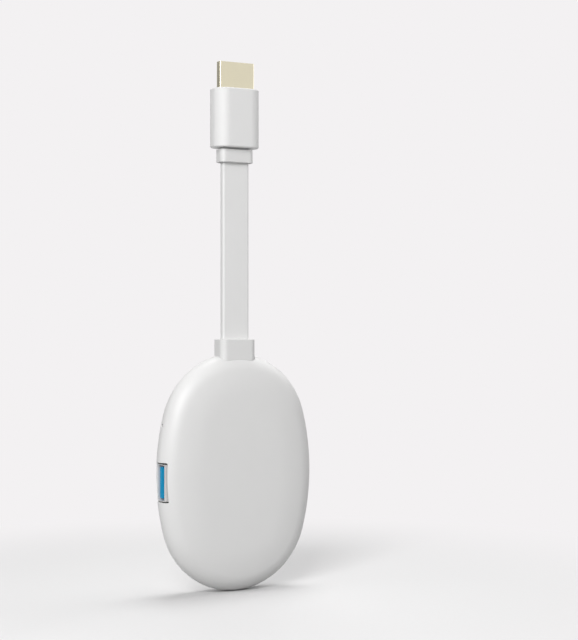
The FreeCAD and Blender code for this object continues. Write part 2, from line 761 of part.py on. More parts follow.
def make_lip():
    """The rear shell's lip inside the front shell, with snaps that catch under its rim."""
    parting, thick = number("sizes.PartingBack"), number("sizes.LipThick")
    low, reach = parting - number("sizes.LipDepth"), number("sizes.SnapReach")
    rim = oval.inset_at(parting, number("sizes.ShellWall"), INSIDE_STEPS[0])
    inset = rim + number("sizes.LipGap")
    lip = band("lip", inset, thick, low, parting + number("sizes.LipRoot"))
    ridge = band("snap_ridge", inset - reach, thick / 2 + reach, low,
                 low + number("sizes.SnapDepth"))
    across = ("places.DataFront", "sizes.PartingBack")
    zones = []
    for side in (-1, 1):
        for level in (-1, 1):
            zones.append(block("snap_zone", middle(f"{side} * sizes.SnapX", "sizes.SnapWidth"),
                               across, middle(f"places.PuckZ + {level} * sizes.PuckHalfHeight",
                                              "sizes.PuckHalfHeight")))
        zones.append(block("snap_zone", middle(f"{side} * sizes.PuckHalfWidth",
                                               "sizes.PuckHalfWidth"), across,
                           middle("places.PuckZ - sizes.SnapZ", "sizes.SnapWidth")))
    snaps = common("snaps", ridge, fuse("snap_zones", zones))
    data_way = block("data_way", (f"-({FAR})", "places.DataEndX"),
                     ("sizes.DataOpeningFront", "sizes.PartingBack"),
                     middle("places.DataZ", "sizes.DataOpeningLength"))
    fit = "2 * sizes.CollarFit"
    collar_way = block("collar_way", middle("0", f"(sizes.CollarFlangeWidth + {fit})"),
                       (f"-({FAR})", f"(sizes.CollarFlangeDepth + {fit}) / 2"),
                       (f"places.FlangeEnd - {fit}", "places.CableEnd"))
    return cut("lip_open", fuse("lip_whole", [lip, snaps]),
               fuse("lip_ways", [data_way, collar_way]))


# Circuit board and the parts on it

def make_board():
    """The board, notched for both ports and drilled for its screws."""
    low, high = number("sizes.BoardFront"), number("places.BoardBack")
    inset = number("sizes.ShellWall + sizes.BoardMargin")
    blank = in_puck("board_blank", oval.slab(inset, low, high))
    across = ("sizes.BoardFront - sizes.BoardThick", "places.BoardBack + sizes.BoardThick")
    gap = "sizes.PortNotchGap"
    top = block("board_top", (f"-({FAR})", FAR), across,
                ("places.PuckTop - sizes.BoardTopDrop", "places.PuckTop"))
    data = block("board_data_notch", (f"-({FAR})", f"places.DataEndX + {gap}"), across,
                 middle("places.DataZ", f"(sizes.DataShellWidth + 2 * {gap})"))
    power = block("board_power_notch", middle("0", f"(sizes.PowerShellWidth + 2 * {gap})"),
                  across, (BELOW, f"places.PowerEnd + {gap}"))
    drilled = [rod("board_hole", "y", place, *across, "sizes.BoardHoleRadius")
               for place in boss_places()]
    keep(cut("board_cut", blank, fuse("board_cuts", [top, data, power, *drilled])),
         "main_board")


def make_screws():
    """Four socket screws that hold the board on its bosses."""
    seat = "places.BoardBack"
    head_end = f"{seat} + sizes.ScrewHeadThick"
    screws = []
    for place in boss_places():
        head = rod("screw_head", "y", place, seat, head_end, "sizes.ScrewHeadRadius",
                   SCREW_SIDE_COUNT)
        shank = rod("screw_shank", "y", place, f"{seat} - sizes.ScrewLength", head_end,
                    "sizes.ScrewRadius", SCREW_SIDE_COUNT)
        socket = rod("screw_socket", "y", place, f"{head_end} - sizes.ScrewSocketDepth",
                     head_end, "sizes.ScrewSocketRadius", sides=6)
        screws.append(cut("screw", fuse("screw_whole", [head, shank]), socket))
    keep(group("screw_set", screws), "board_screws")


def chip(name, key, side, shift="0"):
    """A chip that stands on the board's front (-1) or back (1)."""
    x = middle(f"sizes.{key}X + {shift}", f"sizes.{key}Width")
    z = middle(f"places.PuckZ + sizes.{key}Z", f"sizes.{key}Height")
    seat = "sizes.BoardFront" if side < 0 else "places.BoardBack"
    thick = f"sizes.{key}Thick"
    y = (f"{seat} - {thick}", seat) if side < 0 else (seat, f"{seat} + {thick}")
    return block(name, x, y, z)


def make_chips():
    """Chips, inductors and capacitors."""
    keep(chip("processor_chip", "Processor", -1), "processor")
    memory = [chip("memory_chip", key, -1) for key in ("MemoryLow", "MemoryHigh")]
    keep(group("memory_pair", memory), "memory_chips")
    keep(chip("power_chip_block", "PowerChip", -1), "power_chip")
    keep(chip("crystal_block", "Crystal", -1), "board_crystal")
    keep(chip("storage_block", "Storage", 1), "storage_chip")
    keep(chip("radio_block", "Radio", 1), "radio_module")
    inductors = [chip("inductor", "Inductor", -1, f"{index} * sizes.InductorPitch")
                 for index in range(INDUCTOR_COUNT)]
    keep(group("inductor_row", inductors), "power_inductors")
    capacitors = [chip("capacitor", "Capacitor", 1, f"{index} * sizes.CapacitorPitch")
                  for index in range(CAPACITOR_COUNT)]
    keep(group("capacitor_row", capacitors), "board_capacitors")


def shield_block(name, grow, y):
    """A box about the shield's middle, larger or smaller than the shield."""
    return block(name, middle("sizes.ShieldX", f"(sizes.ShieldWidth + 2 * ({grow}))"), y,
                 middle("places.ShieldMiddleZ", f"(sizes.ShieldHeight + 2 * ({grow}))"))


def make_shield():
    """Shield frame and lid over the chips, and the heat path in front of them."""
    seat, face = "sizes.BoardFront", "sizes.BoardFront - sizes.ShieldDepth"
    frame = shield_block("frame_outer", "0", (face, seat))
    window = shield_block("frame_window", "-sizes.ShieldWall", (face, seat))
    keep(cut("frame_cut", frame, window), "shield_frame")

    skirt = f"{face} + sizes.LidSkirt"
    lid = shield_block("lid_outer", "sizes.LidGap + sizes.LidWall", ("places.LidFront", skirt))
    room = shield_block("lid_room", "sizes.LidGap", (face, skirt))
    keep(cut("lid_cut", lid, room), "shield_lid")

    pad_x = middle("sizes.ProcessorX", "sizes.ProcessorWidth")
    pad_z = middle("places.PuckZ + sizes.ProcessorZ", "sizes.ProcessorHeight")
    keep(block("chip_pad", pad_x, (face, f"{seat} - sizes.ProcessorThick"), pad_z),
         "processor_pad")
    keep(block("lid_pad", middle("sizes.ShieldX", "sizes.SpreaderPadSize"),
               ("places.SpreaderBack", "places.LidFront"),
               middle("places.ShieldMiddleZ", "sizes.SpreaderPadSize")), "spreader_pad")
    keep(block("spreader_plate", ("places.SpreaderLow", "places.SpreaderHigh"),
               ("places.SpreaderFront", "places.SpreaderBack"),
               middle("places.ShieldMiddleZ", "sizes.SpreaderHeight")), "heat_spreader")


def make_antennas():
    """Two upright strip aerials on the board's front."""
    stand = ("sizes.BoardFront - sizes.AntennaStand", "sizes.BoardFront")
    side = block("antenna_side", middle("places.AntennaSideX", "sizes.AntennaThick"), stand,
                 middle("places.PuckZ + sizes.AntennaSideZ", "sizes.AntennaLength"))
    top = block("antenna_top", middle("sizes.AntennaTopX", "sizes.AntennaLength"), stand,
                middle("places.PuckTop - sizes.AntennaTopDrop", "sizes.AntennaThick"))
    keep(group("antenna_pair", [side, top]), "antennas")


# Ports and reset switch

def data_contact(x, leg_x, z, width):
    """A strip on the tongue's front that turns down to the board behind the port."""
    front, back = "places.DataTongueFront - sizes.DataContactThick", "places.DataTongueFront"
    across = middle(z, width)
    strip = block("data_strip", (x, leg_x[1]), (front, back), across)
    leg = block("data_leg", leg_x, (front, "sizes.BoardFront"), across)
    return fuse("data_contact", [strip, leg])


def make_data_port():
    """Data port: metal shell, tongue on a base block, and nine contacts."""
    mouth, end = "places.DataMouthX", "places.DataEndX"
    wall, y = "sizes.DataShellWall", "sizes.DataShellMiddle"
    depth, width = "sizes.DataShellDepth", "sizes.DataShellWidth"
    outer = padded("data_outer", rectangle(depth, width, y, "places.DataZ"), mouth, end,
                   "sizes.DataShellRound", axis="x")
    room = padded("data_room", rectangle(f"({depth} - 2 * {wall})", f"({width} - 2 * {wall})",
                                         y, "places.DataZ"), mouth, end, axis="x")
    metal = [cut("data_tube", outer, room)]
    tab_x = middle(f"({mouth} + {end}) / 2", "sizes.DataTabLength")
    for side in (-1, 1):
        tab_z = middle(f"places.DataZ + {side} * ({width} + sizes.DataTabWidth - {wall}) / 2",
                       f"(sizes.DataTabWidth + {wall})")
        metal.append(block("data_tab", tab_x,
                           ("sizes.BoardFront - sizes.TabThick", "sizes.BoardFront"), tab_z))
    keep(fuse("data_metal", metal), "data_port_shell")

    tongue_tip = f"{mouth} + sizes.DataTongueRecess"
    pad_start = f"{tongue_tip} + sizes.DataContactTail"
    pad_end = f"{pad_start} + sizes.DataShortLength"
    strip_start = f"{pad_end} + sizes.DataContactTail"
    leg_x = (f"{end} + sizes.DataContactTail",
             f"{end} + sizes.DataContactTail + sizes.DataContactThick")
    contacts = [data_contact(strip_start, leg_x, z, "sizes.DataLongWidth")
                for z in row_places(DATA_LONG_COUNT, "sizes.DataLongPitch", "places.DataZ")]
    contacts += [block("data_pad", (pad_start, pad_end),
                       ("places.DataTongueFront - sizes.DataContactThick",
                        "places.DataTongueFront"), middle(z, "sizes.DataShortWidth"))
                 for z in row_places(DATA_SHORT_COUNT, "sizes.DataShortPitch", "places.DataZ")]
    row = keep(group("data_contact_row", contacts), "data_port_contacts")
    tongue = block("data_tongue", (tongue_tip, end),
                   ("places.DataTongueFront", "sizes.DataTongueBack"),
                   middle("places.DataZ", "sizes.DataTongueWidth"))
    base = block("data_base", (f"{end} - sizes.DataBaseLength", end),
                 middle(y, f"({depth} - 2 * {wall})"),
                 middle("places.DataZ", f"({width} - 2 * {wall})"))
    keep(cut("data_tongue_cut", fuse("data_tongue_whole", [tongue, base]), row),
         "data_port_tongue")


def make_power_port():
    """Power port: metal shell, tongue on a base block, and two rows of contacts."""
    mouth, end = "places.PowerMouth", "places.PowerEnd"
    wall, y = "sizes.PowerShellWall", "sizes.PowerShellMiddle"
    width, depth = "sizes.PowerShellWidth", "sizes.PowerShellDepth"
    room = (f"({width} - 2 * {wall})", f"({depth} - 2 * {wall})")
    metal = [cut("power_tube", slot_bar("power_outer", width, depth, y, mouth, end),
                 slot_bar("power_room", *room, y, mouth, end))]
    tab_z = middle(f"({mouth} + {end}) / 2", "sizes.PowerTabLength")
    for x in mirrored((f"{width} / 2 - {wall}", f"{width} / 2 + sizes.PowerTabWidth")):
        metal.append(block("power_tab", x, ("sizes.BoardFront - sizes.TabThick",
                                            "sizes.BoardFront"), tab_z))
    keep(fuse("power_metal", metal), "power_port_shell")

    thick, tail = "sizes.PowerContactThick", "sizes.PowerContactTail"
    face = "sizes.PowerTongueThick / 2"
    tip = f"{mouth} + sizes.PowerTongueRecess"
    rows = ((f"{y} - {face} - {thick}", f"{y} - {face}", 3),
            (f"{y} + {face}", f"{y} + {face} + {thick}", 1))
    strips = []
    for front, back, reach in rows:
        leg_start = f"{end} + {reach} * {tail}"
        leg_end = f"{leg_start} + sizes.PowerContactWidth"
        for x in row_places(POWER_CONTACT_COUNT, "sizes.PowerContactPitch"):
            across = middle(x, "sizes.PowerContactWidth")
            strips.append(block("power_strip", across, (front, back), (f"{tip} + {tail}",
                                                                       leg_end)))
            strips.append(block("power_leg", across, (front, "sizes.BoardFront"),
                                (leg_start, leg_end)))
    row = keep(fuse("power_contact_rows", strips), "power_port_contacts")
    tongue = block("power_tongue", middle("0", "sizes.PowerTongueWidth"),
                   middle(y, "sizes.PowerTongueThick"), (tip, end))
    base = slot_bar("power_base", *room, y, f"{end} - sizes.PowerBaseLength", end)
    keep(cut("power_tongue_cut", fuse("power_tongue_whole", [tongue, base]), row),
         "power_port_tongue")


def make_reset_switch():
    """Reset switch behind the pinhole, with a plunger that slides into it."""
    outer = "places.SwitchOuterX"
    tip = f"{outer} - sizes.PlungerProud"
    tail = f"{tip} + sizes.PlungerLength"
    body = block("switch_block", (outer, f"{outer} + sizes.SwitchLength"),
                 middle("places.SwitchMiddle", "sizes.SwitchThick"),
                 middle("places.SwitchZ", "sizes.SwitchHeight"))
    gap = "2 * sizes.PlungerGap"
    room = block("switch_room", (outer, f"{tail} + sizes.PlungerTravel + sizes.PlungerGap"),
                 middle("places.SwitchMiddle", f"(sizes.PlungerThick + {gap})"),
                 middle("places.SwitchZ", f"(sizes.PlungerHeight + {gap})"))
    keep(cut("switch_cut", body, room), "reset_switch_body")
    keep(block("plunger_block", (tip, tail), middle("places.SwitchMiddle", "sizes.PlungerThick"),
               middle("places.SwitchZ", "sizes.PlungerHeight")), "reset_plunger")


make_plug_cover(make_plug_core())
make_cable()
make_shells()
make_board()
make_screws()
make_chips()
make_shield()
make_antennas()
make_data_port()
make_power_port()
make_reset_switch()

doc.recompute()

for item in doc.Objects:
    if "Invalid" in item.State or "Error" in item.State:
        raise RuntimeError(f"{item.Name} did not build: {item.State}")
for item in sub_parts:
    if item.Shape.isNull() or not item.Shape.isValid():
        raise RuntimeError(f"{item.Label} is not a valid shape")

os.makedirs("parts", exist_ok=True)
for item in sub_parts:
    item.Shape.exportStep(f"parts/{item.Label}.step")
    print(item.Label, len(item.Shape.Solids), round(item.Shape.Volume, 2))
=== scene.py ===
"""Looks of the streaming dongle: an oval puck on a short flat cable with a video plug.

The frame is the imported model's, in metres: X to the right of the puck's front, -Y the way
the front faces, Z up the cable. The origin is the middle of the plug's shoulder.
"""

import logging
import math
from collections.abc import Callable, Iterator, Sequence
from dataclasses import dataclass, field
from enum import Enum
from typing import NamedTuple

import bmesh
import bpy
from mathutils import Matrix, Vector

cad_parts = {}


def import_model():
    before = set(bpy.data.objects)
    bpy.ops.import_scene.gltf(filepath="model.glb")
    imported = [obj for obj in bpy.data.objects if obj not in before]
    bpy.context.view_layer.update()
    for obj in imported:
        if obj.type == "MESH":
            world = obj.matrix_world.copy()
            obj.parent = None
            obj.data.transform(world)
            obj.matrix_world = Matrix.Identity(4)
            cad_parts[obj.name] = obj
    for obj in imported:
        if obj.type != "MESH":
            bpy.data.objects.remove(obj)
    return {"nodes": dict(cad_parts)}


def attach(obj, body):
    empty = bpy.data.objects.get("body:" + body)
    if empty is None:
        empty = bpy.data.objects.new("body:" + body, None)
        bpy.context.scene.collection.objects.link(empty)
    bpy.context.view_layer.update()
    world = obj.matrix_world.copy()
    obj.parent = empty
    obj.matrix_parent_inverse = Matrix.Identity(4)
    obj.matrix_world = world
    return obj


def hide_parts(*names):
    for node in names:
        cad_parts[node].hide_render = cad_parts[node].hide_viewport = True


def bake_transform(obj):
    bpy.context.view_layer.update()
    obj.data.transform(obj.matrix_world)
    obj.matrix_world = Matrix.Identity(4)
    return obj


MM = 0.001
LOG = logging.getLogger("dongle")

# Heights where the pieces meet along the cable
HOUSING_FOOT = -21.4 * MM
BOOT_FOOT = -26.8 * MM
CABLE_FOOT = -90.9 * MM
COLLAR_FOOT = -103.9 * MM

Colour = tuple[float, float, float, float]
Point2 = tuple[float, float]
Point3 = tuple[float, float, float]
# Places round a section, each with its outward normal
Walk = Sequence[tuple[Point2, Point2]]


def darkened(shade: Colour, share: float) -> Colour:
    """A colour with a share of its light taken away."""
    red, green, blue, alpha = shade
    return red * (1 - share), green * (1 - share), blue * (1 - share), alpha


# Shader maths

class Mask:
    """A number socket with Python's operators, each of which adds a Math node."""

    def __init__(self, tree: "NodeTree", socket: bpy.types.NodeSocket) -> None:
        """Wrap a socket that holds a number."""
        self.tree = tree
        self.socket = socket

    def _math(self, operation: str, first: "Mask | float", second: "Mask | float") -> "Mask":
        """A Math node's operation on two values or masks."""
        return self.tree.number("ShaderNodeMath", {"operation": operation},
                                {0: first, 1: second})

    def __add__(self, other: "Mask | float") -> "Mask":
        """This value plus another."""
        return self._math("ADD", self, other)

    __radd__ = __add__

    def __sub__(self, other: "Mask | float") -> "Mask":
        """This value less another."""
        return self._math("SUBTRACT", self, other)

    def __rsub__(self, other: "Mask | float") -> "Mask":
        """Another value less this one."""
        return self._math("SUBTRACT", other, self)

    def __mul__(self, other: "Mask | float") -> "Mask":
        """This value times another."""
        return self._math("MULTIPLY", self, other)

    def above(self, edge: float, soft: float) -> "Mask":
        """A soft step that rises from 0 to 1 round an edge.

        Args:
            edge: Where the step is at a half.
            soft: The width of its ramp.

        Returns:
            The step as a mask.
        """
        return self.tree.number("ShaderNodeMapRange", {"interpolation_type": "SMOOTHSTEP"},
                                {"Value": self, "From Min": edge - soft / 2,
                                 "From Max": edge + soft / 2})


class NodeTree:
    """The node tree of a material or a world."""

    def __init__(self, owner: bpy.types.Material | bpy.types.World, output: str) -> None:
        """Empty the owner's tree and give it an output node.

        Args:
            owner: The material or the world.
            output: The output node's type.
        """
        owner.use_nodes = True
        self.nodes, self.links = owner.node_tree.nodes, owner.node_tree.links
        self.nodes.clear()
        self.output = self.nodes.new(output)

    def add(self, kind: str, settings: dict[str, object],
            inputs: dict[str | int, object]) -> bpy.types.Node:
        """Any node, from its type, its settings and the values or links of its sockets.

        Args:
            kind: The node's type.
            settings: Attributes of the node, set first.
            inputs: Values, masks or sockets by the input's name or place.

        Returns:
            The new node.
        """
        node = self.nodes.new(kind)
        for name, value in settings.items():
            setattr(node, name, value)
        for place, value in inputs.items():
            self.feed(node.inputs[place], value)
        return node

    def feed(self, target: bpy.types.NodeSocket, value: object) -> None:
        """Link a mask or socket to an input, or write a plain value into it.

        Args:
            target: The input.
            value: A mask, a socket or a plain value.
        """
        if isinstance(value, Mask):
            self.links.new(value.socket, target)
        elif isinstance(value, bpy.types.NodeSocket):
            self.links.new(value, target)
        else:
            target.default_value = value

    def number(self, kind: str, settings: dict[str, object],
               inputs: dict[str | int, object], output: str | int = 0) -> Mask:
        """A node whose output is a number, as a mask."""
        return Mask(self, self.add(kind, settings, inputs).outputs[output])

    def mix(self, factor: Mask, first: bpy.types.Node, second: bpy.types.Node) -> bpy.types.Node:
        """A shader between the shaders of two nodes."""
        return self.add("ShaderNodeMixShader", {},
                        {"Fac": factor, 1: first.outputs[0], 2: second.outputs[0]})

    def show(self, node: bpy.types.Node) -> None:
        """Send a node's shader to the output."""
        self.feed(self.output.inputs["Surface"], node.outputs[0])

    def seen(self) -> Mask:
        """Tell the rays that show a surface from soft light.

        Returns:
            At least 1 for the rays of the camera, gloss and glass, and else 0.
        """
        rays = self.add("ShaderNodeLightPath", {}, {})
        return sum(Mask(self, rays.outputs[name])
                   for name in ("Is Camera Ray", "Is Glossy Ray", "Is Transmission Ray"))


class MaterialTree(NodeTree):
    """A material's node tree, with one shader that the finishes feed."""

    def __init__(self, name: str) -> None:
        """Start a material with one plain shader and its output.

        Args:
            name: The material's name.
        """
        self.material = bpy.data.materials.new(name)
        super().__init__(self.material, "ShaderNodeOutputMaterial")
        self.shader = self.nodes.new("ShaderNodeBsdfPrincipled")
        self.show(self.shader)

    def place(self, stretch: Point3 = (1.0, 1.0, 1.0)) -> bpy.types.NodeSocket:
        """The surface's own place on the object, stretched along its axes."""
        where = self.add("ShaderNodeTexCoord", {}, {}).outputs["Object"]
        return self.add("ShaderNodeMapping", {}, {"Vector": where, "Scale": stretch}).outputs[0]

    def noise(self, size: float, detail: float = 3.0, roughness: float = 0.5,
              stretch: Point3 = (1.0, 1.0, 1.0)) -> Mask:
        """Noise with features of a size in metres.

        Args:
            size: The size of its features.
            detail: How many finer layers it has.
            roughness: How strong the finer layers are.
            stretch: How much finer it is along each axis.

        Returns:
            A mask from 0 to 1, mostly near a half.
        """
        return self.number("ShaderNodeTexNoise", {},
                           {"Vector": self.place(stretch), "Scale": 1 / size,
                            "Detail": detail, "Roughness": roughness})

    def blend(self, factor: Mask | float, first: object, second: object
              ) -> bpy.types.NodeSocket:
        """A colour between two colours.

        Args:
            factor: How much there is of the second colour, from 0 to 1.
            first: The first colour or socket.
            second: The second colour or socket.

        Returns:
            The socket of the blended colour.
        """
        node = self.add("ShaderNodeMix", {"data_type": "RGBA"}, {"Factor": factor})
        # The colour sockets A, B and Result share their names with the other types' sockets
        self.feed(node.inputs[6], first)
        self.feed(node.inputs[7], second)
        return node.outputs[2]

    @staticmethod
    def around(middle: float, *parts: tuple[Mask, float]) -> Mask:
        """A value that masks, each with a width, move up and down round its middle."""
        return sum((mask - 0.5) * width for mask, width in parts) + middle

    def bump(self, height: Mask, depth: float,
             under: bpy.types.NodeSocket | None = None) -> bpy.types.NodeSocket:
        """A normal from a height.

        Args:
            height: A mask of the height.
            depth: The height in metres where the mask is 1.
            under: A normal that the height lies on.

        Returns:
            The socket of the normal.
        """
        inputs: dict[str | int, object] = {"Height": height, "Distance": depth}
        if under is not None:
            inputs["Normal"] = under
        return self.add("ShaderNodeBump", {}, inputs).outputs[0]

    def surface(self, **values: object) -> bpy.types.Material:
        """Feed the shader's sockets.

        Args:
            values: Values, masks or sockets by the input's name, with _ for a space.

        Returns:
            The material.
        """
        for name, value in values.items():
            self.feed(self.shader.inputs[name.replace("_", " ")], value)
        return self.material


# Finishes

@dataclass(frozen=True)
class MouldedPlastic:
    """Moulded plastic with a fine spark grain and faint colour variation."""

    name: str
    shade: Colour
    roughness: float = 0.39
    grain_size: float = 0.22 * MM
    grain_depth: float = 0.0035 * MM
    flow_size: float = 11 * MM
    touch_size: float = 2.8 * MM
    cloud: float = 0.036
    specular: float = 0.5
    roughness_by_touch: float = 0.10
    roughness_by_grain: float = 0.05

    def make(self) -> bpy.types.Material:
        """Build the material.

        Returns:
            The new material.
        """
        tree = MaterialTree(self.name)
        grain = tree.noise(self.grain_size, detail=2.0)
        flow = tree.noise(self.flow_size)
        touched = tree.noise(self.touch_size, detail=5.0, roughness=0.62)
        base = tree.blend(flow * 0.6 + touched * 0.4, darkened(self.shade, self.cloud),
                          self.shade)
        rough = tree.around(self.roughness, (touched, self.roughness_by_touch),
                            (grain, self.roughness_by_grain))
        return tree.surface(Base_Color=base, Specular_IOR_Level=self.specular, Roughness=rough,
                            Normal=tree.bump(grain, self.grain_depth))


@dataclass(frozen=True)
class SoftJacket:
    """Satin cable jacket with faint drawing lines along the cable."""

    name: str
    shade: Colour
    roughness: float = 0.46
    line_size: float = 0.45 * MM
    line_depth: float = 0.004 * MM
    skin_size: float = 0.16 * MM
    skin_depth: float = 0.003 * MM
    cloud_size: float = 6 * MM
    cloud: float = 0.045
    specular: float = 0.42
    roughness_by_cloud: float = 0.12
    roughness_by_skin: float = 0.06

    def make(self) -> bpy.types.Material:
        """Build the material.

        Returns:
            The new material.
        """
        tree = MaterialTree(self.name)
        lines = tree.noise(self.line_size, detail=2.0, stretch=(1.0, 1.0, 0.02))
        skin = tree.noise(self.skin_size, detail=2.0)
        cloud = tree.noise(self.cloud_size, detail=4.0)
        base = tree.blend(cloud * 0.7 + lines * 0.3, darkened(self.shade, self.cloud), self.shade)
        rough = tree.around(self.roughness, (cloud, self.roughness_by_cloud),
                            (skin, self.roughness_by_skin))
        drawn = tree.bump(lines, self.line_depth)
        return tree.surface(Base_Color=base, Specular_IOR_Level=self.specular, Roughness=rough,
                            Normal=tree.bump(skin, self.skin_depth, under=drawn))


@dataclass(frozen=True)
class SheetMetal:
    """Plated sheet metal with brushing along one axis and faint rub marks."""

    name: str
    shade: Colour
    roughness: float = 0.29
    brushed: Point3 = (1.0, 1.0, 0.05)
    line_size: float = 0.12 * MM
    line_depth: float = 0.0025 * MM
    cloud_size: float = 2.6 * MM
    rub_size: float = 0.7 * MM
    rub_edge: Point2 = (0.62, 0.1)
    tarnish: float = 0.10
    metallic: float = 1.0
    roughness_by_line: float = 0.12
    roughness_by_cloud: float = 0.10
    roughness_by_rub: float = 0.06

    def make(self) -> bpy.types.Material:
        """Build the material.

        Returns:
            The new material.
        """
        tree = MaterialTree(self.name)
        lines = tree.noise(self.line_size, stretch=self.brushed)
        cloud = tree.noise(self.cloud_size, detail=4.0, roughness=0.6)
        rubbed = tree.noise(self.rub_size, detail=4.0, roughness=0.7).above(*self.rub_edge)
        base = tree.blend(cloud * 0.6 + lines * 0.4, darkened(self.shade, self.tarnish),
                          self.shade)
        rough = tree.around(self.roughness, (lines, self.roughness_by_line),
                            (cloud, self.roughness_by_cloud)) + rubbed * self.roughness_by_rub
        return tree.surface(Base_Color=base, Roughness=rough, Metallic=self.metallic,
                            Normal=tree.bump(lines, self.line_depth))


@dataclass(frozen=True)
class CircuitBoard:
    """Solder mask over copper tracks and planes."""

    name: str = "solder_mask"
    mask: Colour = (0.012, 0.085, 0.045, 1.0)
    track: Colour = (0.03, 0.17, 0.085, 1.0)
    roughness: float = 0.29
    track_size: float = 1.6 * MM
    track_edge: Point2 = (0.08, 0.03)
    track_depth: float = 0.02 * MM
    weave_size: float = 0.4 * MM
    roughness_by_weave: float = 0.1

    def make(self) -> bpy.types.Material:
        """Build the material.

        Returns:
            The new material.
        """
        tree = MaterialTree(self.name)
        cells = tree.number("ShaderNodeTexVoronoi", {"distance": "CHEBYCHEV",
                                                     "feature": "DISTANCE_TO_EDGE"},
                            {"Vector": tree.place(), "Scale": 1 / self.track_size})
        tracks = 1 - cells.above(*self.track_edge)
        weave = tree.noise(self.weave_size, detail=2.0, stretch=(1.0, 1.0, 0.3))
        base = tree.blend(tracks * 0.8 + weave * 0.15, self.mask, self.track)
        rough = tree.around(self.roughness, (weave, self.roughness_by_weave))
        return tree.surface(Base_Color=base, Roughness=rough,
                            Normal=tree.bump(tracks, self.track_depth))


@dataclass(frozen=True)
class MattPart:
    """Matt part of the board: chip cases, ferrite, ceramic and pads."""

    name: str
    shade: Colour
    roughness: float = 0.62
    grain_size: float = 0.3 * MM
    grain_depth: float = 0.012 * MM
    patch_size: float = 2.1 * MM
    speck: float = 0.25
    specular: float = 0.5
    roughness_by_grain: float = 0.16

    def make(self) -> bpy.types.Material:
        """Build the material.

        Returns:
            The new material.
        """
        tree = MaterialTree(self.name)
        grain = tree.noise(self.grain_size, detail=4.0, roughness=0.65)
        patches = tree.noise(self.patch_size)
        base = tree.blend(grain * 0.5 + patches * 0.5, darkened(self.shade, self.speck),
                          self.shade)
        rough = tree.around(self.roughness, (grain, self.roughness_by_grain))
        return tree.surface(Base_Color=base, Roughness=rough, Specular_IOR_Level=self.specular,
                            Normal=tree.bump(grain, self.grain_depth))


class Finish(Enum):
    """The finishes by name; each value makes its material once."""

    HOUSING = MouldedPlastic("housing_white", (0.800, 0.798, 0.794, 1.0))
    # The housing's white made darker for the inside, the seam faces and the opening walls: the
    # darker tone is painted shade on these recess walls; the higher roughness is the inner face's
    # own
    HOUSING_INSIDE = MouldedPlastic("housing_inside", (0.70, 0.70, 0.69, 1.0), roughness=0.5)
    PLUG_WHITE = MouldedPlastic("plug_white", (0.825, 0.823, 0.820, 1.0), roughness=0.53)
    RELIEF_WHITE = MouldedPlastic("relief_white", (0.785, 0.783, 0.779, 1.0), roughness=0.42,
                                  grain_size=0.3 * MM)
    JACKET = SoftJacket("jacket_white", (0.840, 0.838, 0.835, 1.0))
    PLUG_PLATING = SheetMetal("pale_gold_plating", (0.80, 0.755, 0.57, 1.0), roughness=0.31,
                              line_depth=0.0002 * MM, tarnish=0.05)
    PORT_METAL = SheetMetal("satin_port_metal", (0.80, 0.79, 0.79, 1.0), roughness=0.54,
                            brushed=(0.05, 1.0, 1.0), metallic=0.45)
    BOARD_METAL = SheetMetal("tinned_sheet", (0.70, 0.70, 0.69, 1.0), roughness=0.35,
                             brushed=(1.0, 1.0, 0.08))
    SPREADER = SheetMetal("satin_aluminium", (0.74, 0.74, 0.75, 1.0), roughness=0.41,
                          brushed=(0.06, 1.0, 1.0))
    CONTACT_GOLD = SheetMetal("contact_gold", (0.86, 0.62, 0.25, 1.0), roughness=0.23)
    COPPER = SheetMetal("bare_copper", (0.80, 0.42, 0.26, 1.0), roughness=0.33)
    INSULATOR_BLACK = MattPart("insulator_black", (0.020, 0.020, 0.022, 1.0), roughness=0.45,
                               grain_depth=0.006 * MM)
    TONGUE_BLUE = MattPart("tongue_blue", (0.002, 0.330, 0.620, 1.0), roughness=0.50,
                           grain_depth=0.006 * MM, speck=0.08, specular=0.15)
    TONGUE_BLACK = MattPart("tongue_black", (0.022, 0.022, 0.024, 1.0), roughness=0.5,
                            grain_depth=0.006 * MM)
    INNER_MOULD = MattPart("inner_mould_cream", (0.62, 0.61, 0.55, 1.0), speck=0.08)
    CHIP_CASE = MattPart("chip_case", (0.028, 0.028, 0.030, 1.0), roughness=0.55)
    FERRITE = MattPart("ferrite_grey", (0.050, 0.050, 0.055, 1.0), roughness=0.7)
    CERAMIC = MattPart("ceramic_tan", (0.36, 0.27, 0.18, 1.0), roughness=0.5)
    PAD = MattPart("thermal_pad_grey", (0.30, 0.35, 0.40, 1.0), roughness=0.8,
                   grain_depth=0.02 * MM, speck=0.14)
    PLUNGER = MattPart("plunger_cream", (0.55, 0.52, 0.46, 1.0), roughness=0.5, speck=0.1)
    MASK = CircuitBoard()

    def material(self) -> bpy.types.Material:
        """The finish's material, made on first use."""
        found = bpy.data.materials.get(self.value.name)
        return found or self.value.make()


# Meshes

